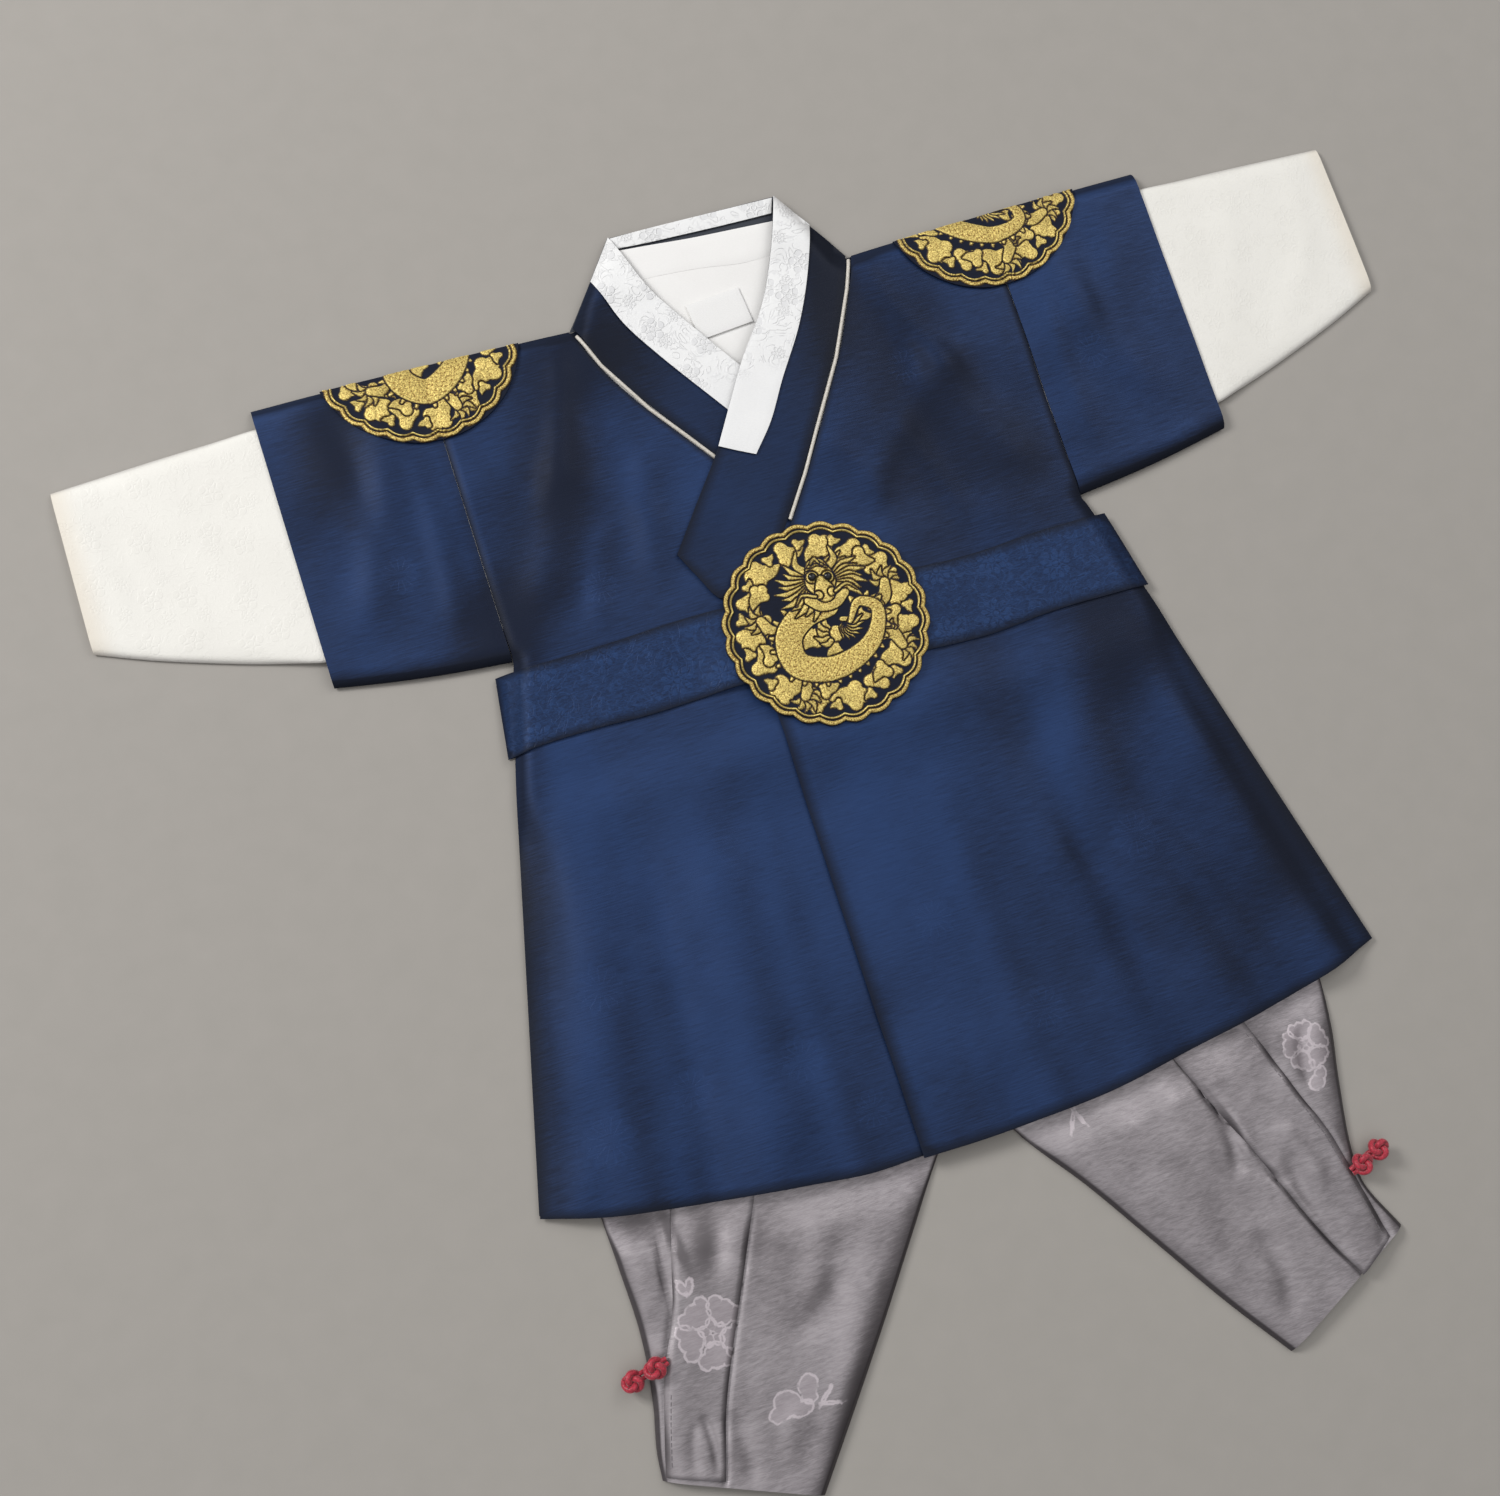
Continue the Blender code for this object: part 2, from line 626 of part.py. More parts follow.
def roundel_chest():
    cx, cy = chest_centre
    count = 60
    shares = [0.14, 0.27, 0.38, 0.47, 0.56, 0.66, 0.74, 0.83, 0.9, 0.955, 1.0]
    lower = [0.27, 0.47, 0.66, 0.83, 1.0]
    points = []
    for share in shares:
        for k in range(count):
            turn = 2 * math.pi * k / count
            r = rim_radius(turn) * share
            x, y = cx + r * math.cos(turn), cy + r * math.sin(turn)
            lift = stitch_height * stitched(share * math.cos(turn), share * math.sin(turn))
            points.append((x, y, chest_low(x, y) + cloth + lift))
    for share in lower:
        for k in range(count):
            turn = 2 * math.pi * k / count
            r = rim_radius(turn) * share
            x, y = cx + r * math.cos(turn), cy + r * math.sin(turn)
            points.append((x, y, chest_low(x, y)))
    points.append((cx, cy, chest_low(cx, cy) + cloth + stitch_height))
    points.append((cx, cy, chest_low(cx, cy)))
    top_middle, low_middle = len(points) - 2, len(points) - 1
    first_low = len(shares) * count
    faces = []
    for k in range(count):
        n = (k + 1) % count
        faces.append((top_middle, k, n))
        faces.append((low_middle, first_low + n, first_low + k))
        for i in range(len(shares) - 1):
            a = i * count
            faces.append((a + k, a + count + k, a + count + n, a + n))
        for i in range(len(lower) - 1):
            a = first_low + i * count
            faces.append((a + k, a + n, a + count + n, a + count + k))
        a = (len(shares) - 1) * count
        b = first_low + (len(lower) - 1) * count
        faces.append((a + k, b + k, b + n, a + n))
    solid("roundel_chest", points, faces, gold, 0.45, 0.35)


def roundel_shoulder(side, word, surface):
    cx = side * shoulder_centre_x
    rows = []
    for drop in (0.0, 4.0, 10.0, 15.0, 20.0, 25.0, 30.0, 34.5, 38.5, 41.8):
        half = math.sqrt(roundel_radius ** 2 - (shoulder_centre_drop + drop) ** 2)
        row = spread((cx - half, 0.0), (cx + half, 0.0), 17)
        rows.append([(x, shoulder_y(x) - drop) for x, _ in row])

    def thickness(x, y):
        v = (y - shoulder_y(cx) - shoulder_centre_drop) / roundel_radius
        u = (x - cx) / roundel_radius
        return cloth + stitch_height * stitched(u * side, v)

    sheet("roundel_shoulder_" + word, rows, raised(surface, cloth + 0.5), thickness, gold, 0.45, 0.35)
    back = []
    for drop in (0.0, 20.0, 40.0, 55.0, 64.0, 68.0):
        half = math.sqrt(roundel_radius ** 2 - (drop - shoulder_centre_drop) ** 2)
        row = spread((cx - half, 0.0), (cx + half, 0.0), 7)
        back.append([(x, shoulder_y(x) - drop) for x, _ in row])
    sheet("roundel_shoulder_" + word + "_back", back, lambda x, y: 0.0, thin, gold, 0.45, 0.35)


# Inner shirt

def shirt_back():
    x = shirt_armhole_x - 0.15
    columns = [p[0] for p in spread((-x, 0.0), (x, 0.0), 13)]
    low = [(c, read_line(shirt_seam, c, 0) + 0.15) for c in columns if abs(c) < 60.0]
    top = [(max(c, -44.0), read_line(shirt_top, max(c, -44.0), 0)) for c, _ in low]
    middle = [between(a, b, 0.5) for a, b in zip(top, low)]
    sheet("shirt_collar_back", [top, middle, low], raised(base, cloth + 0.6), thin, white, 0.45)
    rows = []
    for fall in (0.0, 0.5, 0.8):
        row = []
        for c in columns:
            start = read_line(shirt_seam, c, 0) - 0.15 if abs(c) < 60.0 else shirt_top_y - 0.8
            row.append((c, mix(start, -22.0, fall)))
        rows.append(row)
    for y in (-30.0, -55.0, -85.0, -115.0, -142.0, -160.0):
        rows.append([(c, y) for c in columns])
    for y in (-172.0, -200.0, shirt_hem_y):
        rows.append(spread((-146.0, y), (146.0, y), 13))
    sheet("shirt_back", rows, raised(base, cloth + 0.6), thin, white, 0.45)


def shirt_front(side, word):
    starts = {shirt_top_y - 1.6: 66.0, -30.0: 52.0, -55.0: 38.0, -85.0: 18.0, -115.0: -3.0, -142.0: -22.0, -160.0: -34.0}
    over = side > 0.0
    rows = []
    for y, start in starts.items():
        if not over:
            start = max(start, -18.0)
        rows.append(spread((side * start, y), (side * (shirt_armhole_x - 0.15), y), 8))
    for y in (-172.0, -205.0, shirt_hem_y):
        rows.append(spread((side * (-36.0 if over else -18.0), y), (side * 146.0, y), 8))

    def low(x, y):
        lift = 1.35 * (1.0 - smooth((x - 20.0) / 60.0)) if over else 0.0
        return base(x, y) + 3.4 + lift

    sheet("shirt_front_" + word, rows, low, thin, white, 0.45)


def shirt_low(x, y):
    inside = 1.0 - smooth((abs(x) - 257.0) / 24.0)
    return (base(x, y) + cloth + 0.6) * inside


def shirt_level(x, y):
    inside = 1.0 - smooth((abs(x) - 258.0) / 34.0)
    top = read_line(shirt_sleeve_top, abs(x), 0)
    low = read_line(shirt_sleeve_low, abs(x), 0)
    share = steps(min(top - y, y - low), fold_rise)
    hidden = base(x, y) + cloth + 0.6 + thin + 0.3 + 0.3 * share
    shown = thin + 0.5 + (1.4 + 0.5 * math.sin(abs(x) * 0.045) * math.cos(y * 0.04)) * share
    return mix(shown, hidden, inside)


def shirt_sleeve(side, word):
    stations = []
    for x in (shirt_armhole_x + 0.15, 180.0, 210.0, 238.0, 257.0, 270.0, 288.0, 312.0, 338.0, cuff_x):
        low_x = x + (1.3 if x == cuff_x else 0.0)
        top = (side * x, read_line(shirt_sleeve_top, x, 0))
        stations.append((top, (side * low_x, read_line(shirt_sleeve_low, low_x, 0))))
    tube("shirt_sleeve_" + word, stations, edge_marks(4), shirt_low, shirt_level, thin, white, 0.5)


def label():
    rows = [spread((-14.0, -3.0), (17.0, -0.5), 3), spread((-12.0, -24.0), (19.0, -21.5), 3)]
    sheet("label_blank", rows, raised(base, cloth + 0.6 + thin + 0.35), thin, white, 0.6)


# Trousers

def trouser_level(x, y):
    puff = smooth((-481.0 - y) / 26.0)
    legs = leg_left if x > 0.0 else leg_right
    inner = [a for a, b in legs]
    outer = [b for a, b in legs]
    edge = min(distance(inner, x, y), distance(outer, x, y)) if y < -440.0 else 20.0
    share = steps(edge, [(0.0, 0.0), (4.0, 0.55), (14.0, 1.0)])
    return thin + 0.3 + 0.35 * share + 2.1 * puff * share


def trousers():
    stations = [((-waistband_x, y), (waistband_x, y)) for y in (waistband_y, waistband_y - waistband_depth / 2, waistband_y - waistband_depth)]
    tube("trousers_waistband", stations, edge_marks(5), lambda x, y: 0.0, lambda x, y: thin + 0.6, thin, grey, 0.38)
    for word, legs in (("left", leg_left), ("right", leg_right)):
        stations = list(legs)
        finer = [stations[0]]
        for a, b in zip(stations, stations[1:]):
            if a[0][1] < -440.0 and b[0][1] > -560.0:
                finer.append((between(a[0], b[0], 0.5), between(a[1], b[1], 0.5)))
            finer.append(b)
        tube("trousers_leg_" + word, finer, edge_marks(6), lambda x, y: 0.0, trouser_level, thin, grey, 0.38)


def flap(name, edges):
    rows = []
    for (a, b), (c, d) in zip(edges, edges[1:]):
        rows.append(spread(a, b, 5))
        rows.append(spread(between(a, c, 0.5), between(b, d, 0.5), 5))
    rows.append(spread(edges[-1][0], edges[-1][1], 5))
    sheet(name, rows, raised(trouser_level, thin + 0.45), thin, grey, 0.38)


def knot(name, x, y, z, heading, tail):
    profile = [(-tail, 1.3), (-5.2, 1.5), (-4.6, 3.6), (-3.0, 5.5), (-1.0, 6.3), (1.0, 6.3), (3.0, 5.5), (4.8, 3.4)]
    turn = math.radians(heading)
    points = []
    sides = 10
    for along_axis, radius in profile:
        for k in range(sides):
            angle = 2 * math.pi * k / sides
            lump = 1.0 + 0.07 * math.cos(3 * angle + along_axis * 0.5) if radius > 2.0 else 1.0
            across = radius * lump / 1.07 * math.cos(angle)
            up = radius * lump / 1.07 * math.sin(angle)
            points.append((x + along_axis * math.cos(turn) - across * math.sin(turn),
                           y + along_axis * math.sin(turn) + across * math.cos(turn), z + up))
    end = len(profile) - 1
    points.append((x - tail * math.cos(turn), y - tail * math.sin(turn), z))
    points.append((x + 5.6 * math.cos(turn), y + 5.6 * math.sin(turn), z))
    faces = []
    for k in range(sides):
        n = (k + 1) % sides
        faces.append((end * sides + sides, n, k))
        faces.append((end * sides + sides + 1, end * sides + k, end * sides + n))
        for i in range(end):
            a = i * sides
            faces.append((a + k, a + n, a + sides + n, a + sides + k))
    solid(name, points, faces, red, 0.5)


def knots():
    for word, places in (("left", knots_left), ("right", knots_right)):
        x, y, heading = places[0]
        knot("ankle_button_" + word, x, y, knot_radius, heading, 7.1)
        x, y, heading = places[1]
        top = trouser_level(x, y) + thin + 0.35 + knot_radius
        knot("ankle_loop_" + word, x, y, top, heading, 6.2)


# Put the middle of the whole over the origin

def centre():
    corners = [thing.data.vertices for thing in built]
    xs = [v.co.x for verts in corners for v in verts]
    ys = [v.co.y for verts in corners for v in verts]
    zs = [v.co.z for verts in corners for v in verts]
    shift = ((min(xs) + max(xs)) / 2, (min(ys) + max(ys)) / 2, min(zs))
    for thing in built:
        for v in thing.data.vertices:
            v.co.x -= shift[0]
            v.co.y -= shift[1]
            v.co.z -= shift[2]
        thing.data.update()
    print("middle of the plan", [round(s * 1000, 3) for s in shift])
    print("extent", round((max(xs) - min(xs)) * 1000, 1), round((max(ys) - min(ys)) * 1000, 1), round((max(zs) - min(zs)) * 1000, 1))


def build():
    for thing in list(bpy.data.objects):
        bpy.data.objects.remove(thing, do_unlink=True)
    robe_back()
    robe_front_left()
    robe_front_right()
    robe_sleeve(1.0, "left", level_left)
    robe_sleeve(-1.0, "right", level_right)
    collars()
    back_collar()
    piping("piping_left", seam_left, level_left, 0.84)
    piping("piping_right", seam_right, level_right, 0.6)
    belt()
    roundel_chest()
    roundel_shoulder(1.0, "left", level_left)
    roundel_shoulder(-1.0, "right", level_right)
    shirt_back()
    shirt_front(1.0, "left")
    shirt_front(-1.0, "right")
    shirt_sleeve(1.0, "left")
    shirt_sleeve(-1.0, "right")
    label()
    trousers()
    flap("trousers_flap_left", flap_left)
    flap("trousers_flap_right", flap_right)
    knots()
    centre()


build()
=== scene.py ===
import math

import bpy
import numpy as np
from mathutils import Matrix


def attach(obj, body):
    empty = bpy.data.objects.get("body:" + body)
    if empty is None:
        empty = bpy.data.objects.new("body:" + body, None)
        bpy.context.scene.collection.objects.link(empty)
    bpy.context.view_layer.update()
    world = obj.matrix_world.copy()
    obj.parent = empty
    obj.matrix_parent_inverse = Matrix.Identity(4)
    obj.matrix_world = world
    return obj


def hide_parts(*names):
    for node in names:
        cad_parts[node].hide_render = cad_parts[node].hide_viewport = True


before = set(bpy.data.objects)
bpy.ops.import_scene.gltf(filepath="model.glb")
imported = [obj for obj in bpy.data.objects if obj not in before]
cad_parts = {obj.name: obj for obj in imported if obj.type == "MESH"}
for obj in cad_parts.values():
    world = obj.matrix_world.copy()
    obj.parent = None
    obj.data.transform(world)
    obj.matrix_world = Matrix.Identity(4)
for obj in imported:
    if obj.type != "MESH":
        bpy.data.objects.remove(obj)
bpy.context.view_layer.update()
print("frame loaded")

middleY = 292.25  # plan tables have Y = 0 on the shoulder line


# Plain maths on arrays

def smooth(t):
    t = np.clip(t, 0.0, 1.0)
    return t * t * (3.0 - 2.0 * t)


def rise(t, power=2.0):
    return 1.0 - (1.0 - np.clip(t, 0.0, 1.0)) ** power


def mix(a, b, t):
    return a + (b - a) * t


def readLine(points, value, axis=0):
    rows = sorted(points, key=lambda p: p[axis])
    return np.interp(value, [r[axis] for r in rows], [r[1 - axis] for r in rows])


def lineDistance(points, x, y):
    best = np.full(np.shape(x), 1e9)
    for (ax, ay), (bx, by) in zip(points, points[1:]):
        dx, dy = bx - ax, by - ay
        t = np.clip(((x - ax) * dx + (y - ay) * dy) / (dx * dx + dy * dy), 0.0, 1.0)
        best = np.minimum(best, np.hypot(x - ax - t * dx, y - ay - t * dy))
    return best


def resample(points, count):
    p = np.array(points, float)
    run = np.concatenate([[0.0], np.cumsum(np.hypot(*np.diff(p, axis=0).T))])
    t = np.linspace(0.0, run[-1], count)
    return np.stack([np.interp(t, run, p[:, 0]), np.interp(t, run, p[:, 1])], 1)


def bend(points, count):
    p = np.array(points, float)
    run = np.concatenate([[0.0], np.cumsum(np.linalg.norm(np.diff(p, axis=0), axis=1))])
    return hermite(run, p, np.linspace(0.0, run[-1], count))


def hermite(knots, values, wanted):
    slopes = np.gradient(values, knots, axis=0)
    i = np.clip(np.searchsorted(knots, wanted, side="right") - 1, 0, len(knots) - 2)
    gap = knots[i + 1] - knots[i]
    t = (wanted - knots[i]) / gap
    shape = (-1,) + (1,) * (values.ndim - 1)
    t, gap = t.reshape(shape), gap.reshape(shape)
    a, b, ma, mb = values[i], values[i + 1], slopes[i] * gap, slopes[i + 1] * gap
    start = (2 * t**3 - 3 * t**2 + 1) * a + (t**3 - 2 * t**2 + t) * ma
    return start + (3 * t**2 - 2 * t**3) * b + (t**3 - t**2) * mb


def ripple(x, y, size, seed):
    draw = np.random.default_rng(seed)
    total = 0.0
    for _ in range(7):
        turn, phase = draw.uniform(0, math.pi), draw.uniform(0, 6.28)
        step = size * draw.uniform(0.6, 1.7)
        total = total + np.sin((x * math.cos(turn) + y * math.sin(turn)) * 6.28 / step + phase)
    return total / 3.2


# The garment's cut in millimetres

cloth = 1.2
thin = 1.0
armholeX = 162.0
underarmY = -166.0
sleeveEndX = 254.5
sleeveEndY = -152.5
waistX = 180.5
waistY = -232.0
hemX = 233.0
hemY = -444.0
hemLine = [(0, -477.5), (40, -476.5), (71, -475), (154, -462.5), (200, -454), (233, -444)]
seamLeft = [(82.2, 0.7), (73.9, -19.3), (55.1, -55.8), (30.4, -93.6), (18.1, -113.0), (1.1, -136.7),
            (-16.0, -160.0)]
seamRight = [(-78.0, -0.9), (-68.9, -24.1), (-50.9, -55.2), (-34.7, -77.3), (-25.9, -89.6),
             (-8.0, -114.0), (22.0, -158.0)]
neckline = [(-80, 0), (-40, -3.6), (0, -5), (40, -3.6), (80, 0)]
innerLeft = [(52.3, 44.6), (43.6, 21.5), (25.5, -15.5), (3.3, -45.4), (-10.0, -66.0), (-22.8, -86.2),
             (-43.0, -112.0), (-62.2, -136.6)]
innerRight = [(-43.3, 45.4), (-33.0, 15.7), (-21.1, -6.1), (-10.3, -23.7), (3.3, -45.4), (20.0, -72.0),
              (38.0, -102.0)]
neckOutline = [(-80, 0), (-43.5, 46), (52.5, 45), (80, 0)]
shirtTop = [(-44.5, 36.4), (-15.0, 34.2), (15.0, 32.6), (51.0, 30.6)]
shirtSeam = [(-50.0, 19.0), (-35.5, 18.8), (-8.9, 17.5), (25.3, 12.8), (38.4, 12.9), (57.0, 14.0)]
shirtSleeveTop = [(150.0, -9.5), (200.0, -8.0), (254.0, -6.5), (300.0, -7.5), (365.0, -10.5)]
shirtSleeveLow = [(150.0, -150.0), (200.0, -146.5), (256.0, -138.0), (292.0, -127.6), (322.0, -117.5),
                  (345.0, -109.0), (366.5, -99.8)]
beltTop = [(-173.0, -172.0), (-149.2, -172.4), (-93.2, -171.0), (-50.3, -171.9), (65.6, -180.3),
           (97.9, -181.6), (146.2, -179.1), (172.5, -179.5)]
beltLow = [(-180.5, -215.1), (-160.0, -213.5), (-107.1, -214.5), (-53.2, -214.4), (51.3, -225.6),
           (82.3, -226.2), (130.0, -224.4), (181.5, -224.3)]
roundelRadius = 56.0
chestCentre = (2.2, -195.2)
shoulderCentreX = 162.5
shoulderDrop = 13.0
legRight = [((-0.3, -291.5), (-128.0, -291.5)), ((-0.3, -350.0), (-172.0, -350.0)),
            ((-0.3, -410.0), (-198.0, -408.0)), ((-4.0, -448.0), (-203.4, -446.0)),
            ((-31.1, -480.0), (-202.8, -478.0)), ((-57.0, -514.0), (-202.2, -514.0)),
            ((-84.0, -549.5), (-206.0, -546.0)), ((-112.0, -585.0), (-211.5, -570.0)),
            ((-138.2, -617.7), (-213.0, -584.5))]
legLeft = [((0.3, -291.5), (128.0, -291.5)), ((0.3, -350.0), (172.0, -350.0)),
           ((0.3, -410.0), (196.0, -408.0)), ((1.0, -450.0), (198.5, -446.0)),
           ((14.5, -481.0), (195.6, -477.4)), ((40.0, -517.0), (189.0, -508.0)),
           ((63.0, -553.0), (183.0, -540.0)), ((89.0, -594.0), (182.5, -563.0)),
           ((114.6, -630.5), (194.0, -589.5))]
flapRight = [((-166.5, -452.0), (-120.5, -455.0)), ((-176.0, -482.0), (-134.0, -482.0)),
             ((-184.5, -510.0), (-149.0, -512.0)), ((-196.0, -534.0), (-160.5, -535.0)),
             ((-204.5, -560.0), (-172.0, -560.0)), ((-211.0, -583.0), (-183.5, -594.5))]
flapLeft = [((145.0, -452.0), (100.5, -456.0)), ((154.5, -480.0), (110.5, -482.0)),
            ((163.5, -508.0), (121.5, -509.0)), ((172.0, -531.0), (132.5, -535.0)),
            ((177.5, -556.0), (146.0, -569.0)), ((184.5, -592.5), (163.5, -606.0))]

# soft folds: foot x, y, head x, y, half width, height, bow
robeFolds = [
    (112, -238, 148, -462, 17, 2.3, 5), (70, -262, 88, -474, 13, 1.4, -4),
    (168, -246, 204, -452, 14, 1.8, 4), (-92, -238, -112, -470, 18, 2.3, -6),
    (-146, -240, -184, -458, 15, 1.9, 5), (-150, -154, -100, -66, 14, 1.9, 4),
    (148, -156, 108, -76, 14, 1.8, -4), (-232, -136, -192, -34, 12, 1.4, 3),
    (228, -132, 192, -44, 12, 1.4, -3), (34, -262, 38, -478, 9, 0.9, 3),
    (130, -330, 178, -470, 7, 0.8, -4), (-60, -262, -70, -476, 9, 1.0, 4),
    (-206, -330, -224, -446, 8, 0.9, -2), (-130, -104, -92, -24, 8, 1.0, 4),
    (128, -98, 90, -18, 8, 1.0, -4), (58, -150, 38, -104, 7, 0.6, 2), (-76, -160, -64, -88, 9, 0.9, -3),
    (-186, -154, -180, -56, 7, 0.8, 3), (184, -158, 178, -60, 7, 0.8, -3),
    (98, -170, 80, -108, 7, 0.7, 2), (-114, -168, -98, -118, 7, 0.7, -2),
    (-24, -250, -30, -470, 8, -0.5, 2), (92, -300, 118, -470, 9, -0.8, 3),
    (-128, -262, -146, -462, 8, -0.8, -3), (-206, -128, -214, -30, 8, -0.6, 2),
    (208, -126, 214, -34, 8, -0.6, -2), (140, -60, 60, -120, 10, 0.8, 5),
    (-140, -52, -70, -112, 10, 0.8, -5), (60, -320, 128, -404, 9, 0.5, 4),
    (-80, -400, -150, -330, 9, 0.5, 4),
]


def shoulderY(x):
    return 0.023 * (np.abs(x) - 80.0)


def sideX(y):
    torso = mix(armholeX, waistX, np.clip((underarmY - y) / (underarmY - waistY), 0.0, 1.0))
    return np.where(y > waistY, torso, mix(waistX, hemX, (waistY - y) / (waistY - hemY)))


def sleeveLowY(x):
    t = np.clip((np.abs(x) - armholeX) / (sleeveEndX - armholeX), 0.0, 1.0)
    return mix(underarmY, sleeveEndY, t) - 1.5 * np.sin(math.pi * t)


def sideRun(y):
    return mix(10.0, 26.0, smooth((waistY - y) / 60.0))


def edgeShare(x, y):
    ax = np.abs(x)
    share = np.where(ax > 70.0, rise((shoulderY(x) - y) / 10.0), 1.0)
    near = rise(lineDistance(neckOutline, x, y) / 13.0)
    blend = smooth((ax - 70.0) / 12.0) * (1.0 - smooth((y - 2.5) / 8.0))
    share = np.where((ax < 100.0) & (y > -40.0), mix(near, share, blend), share)
    sleeve = share * rise((y - sleeveLowY(x)) / 10.0)
    corner = np.minimum(share, rise(np.hypot(armholeX - ax, y - underarmY) / 10.0, 1.6))
    side = rise((sideX(y) - ax) / sideRun(y), 1.6)
    return np.where(y < underarmY, side, np.where(ax > armholeX, sleeve, corner))


def base(x, y):
    height = 1.3 * smooth((-140.0 - y) / 26.0) * (1.0 - smooth((waistY - y) / 30.0))
    lift = 3.2 + 1.5 * smooth((-400.0 - y) / 40.0)
    height = height + lift * smooth((-230.0 - y) / 30.0) * smooth((sideX(y) - np.abs(x)) / 28.0)
    fold = np.hypot(np.abs(x) - shoulderCentreX, y + shoulderDrop - shoulderY(x))
    height = height + 1.7 * smooth((98.0 - fold) / 40.0) * smooth((y + 140.0) / 30.0)
    return height + np.where(np.abs(x) < 90.0, 1.3 * smooth((y - 2.0) / 14.0), 0.0)


def folds(table, x, y):
    total = 0.0
    for ax, ay, bx, by, width, height, bow in table:
        dx, dy = bx - ax, by - ay
        length = math.hypot(dx, dy)
        t = ((x - ax) * dx + (y - ay) * dy) / length**2
        off = ((x - ax) * dy - (y - ay) * dx) / length - bow * 4.0 * t * (1.0 - t)
        total = total + height * smooth(t / 0.35) * smooth((1.3 - t) / 0.3) * np.exp(-((off / width) ** 2))
    return total


# soft places where the satin turns away from or towards the light: centre, radii, turn, amount
satinShades = [
    (-78, -281, 132, 85, -0.30, 0.21), (-65, -389, 159, 64, -0.30, 0.08),
    (-113, -76, 14, 45, -0.30, -0.38), (-163, -150, 24, 38, -0.30, -0.60),
    (-221, -32, 23, 49, -0.48, -0.32), (-184, -80, 28, 64, -0.51, 0.10), (96, -60, 27, 68, -0.09, -0.38),
    (130, -141, 68, 42, -0.30, -0.24), (150, -238, 28, 40, -0.30, -0.44),
    (170, -350, 36, 95, -0.72, -0.17), (184, -402, 24, 64, -0.72, -0.26),
    (108, -281, 13, 64, -0.51, 0.14), (-25, -119, 28, 25, -0.30, 0.22), (63, -19, 14, 42, -0.30, -0.44),
    (-71, -12, 34, 30, -0.30, -0.46), (-48, -93, 28, 36, -0.30, 0.04), (203, -94, 47, 64, -0.30, -0.08),
    (129, -308, 21, 64, -0.55, -0.16), (-43, -408, 15, 36, -0.48, -0.16),
    (-10, -314, 40, 70, -0.30, 0.08), (66, -320, 30, 60, -0.40, -0.08),
    (-201, -335, 12, 130, -0.245, -0.46), (202, -340, 14, 100, 0.245, -0.14),
    (-188, -462, 11, 9, -0.30, -0.34), (-159, -481, 7, 20, -0.30, -0.30),
    (-127, -492, 11, 19, -0.30, -0.26), (-115, -525, 25, 11, -0.30, -0.05),
    (154, -476, 19, 9, -0.30, -0.22), (113, -481, 15, 7, -0.30, -0.20), (-172, -475, 3, 16, 0.10, -0.60),
]


def shadeAt(x, y):
    total = np.zeros(np.shape(x))
    for cx, cy, rx, ry, turn, amount in satinShades:
        dx, dy = x - cx, y - cy
        c, s = math.cos(turn), math.sin(turn)
        total = total + amount * np.exp(-(((dx * c + dy * s) / rx) ** 2) - ((dy * c - dx * s) / ry) ** 2)
    return total


def level(x, y, over):
    shirt = smooth((y + 290.0) / 50.0)
    overShare = 1.0 - smooth((x - 40.0) / 60.0)
    if over:
        full = 4.7 + (3.3 + 1.5 * smooth((y + 135.0) / 42.0)) * overShare
        skirt = 2.2 + 1.9 * overShare
    else:
        full = 4.7 + 1.4 * smooth((x + 100.0) / 55.0)
        skirt = 2.2
    full = mix(skirt, full, shirt) + 1.35 * folds(robeFolds, x, y) + 0.22 * ripple(x, y, 55.0, 3)
    full = full - 0.7 * np.exp(-(((np.abs(x) - armholeX) / 2.4) ** 2)) * smooth((y + 172.0) / 8.0)
    neck = 1.0 - 0.36 * smooth((y + 45.0) / 60.0) * (1.0 - smooth((np.abs(x) - 45.0) / 25.0))
    return base(x, y) + 1.5 + (full - 1.5) * edgeShare(x, y) * neck


def levelLeft(x, y):
    return level(x, y, True)


def levelRight(x, y):
    return level(x, y, False)


def raised(surface, amount):
    return lambda x, y: surface(x, y) + amount


# Meshes

def makeMesh(name, points, faces, material, node, marks=None, covers=True):
    mesh = bpy.data.meshes.new(name)
    p = np.array(points, float)
    flat = p[:, :2]
    moved = (p + [0.0, middleY, 0.0]) * 0.001
    mesh.from_pydata(moved.tolist(), [], [list(f) for f in faces])
    layer = mesh.uv_layers.new(name="UVMap")
    loops = np.empty(len(mesh.loops), int)
    mesh.loops.foreach_get("vertex_index", loops)
    layer.data.foreach_set("uv", (flat[loops] * 0.001).ravel())
    marks = {"shade": shadeAt(p[:, 0], p[:, 1]), **(marks or {})}
    for key, values in marks.items():
        attribute = mesh.attributes.new(key, "FLOAT", "POINT")
        attribute.data.foreach_set("value", np.array(values, float))
    mesh.polygons.foreach_set("use_smooth", [True] * len(mesh.polygons))
    mesh.set_sharp_from_angle(angle=math.radians(48))
    mesh.update()
    thing = bpy.data.objects.new(name, mesh)
    bpy.context.scene.collection.objects.link(thing)
    mesh.materials.append(material)
    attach(thing, "root")
    if covers:
        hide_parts(node)
    return thing


def gridFaces(rows, columns, start=0, flip=False, close=False):
    faces = []
    last = columns if close else columns - 1
    for i in range(rows - 1):
        for j in range(last):
            a = start + i * columns + j
            b = start + i * columns + (j + 1) % columns
            face = (a, a + columns, b + columns, b)
            faces.append(face[::-1] if flip else face)
    return faces


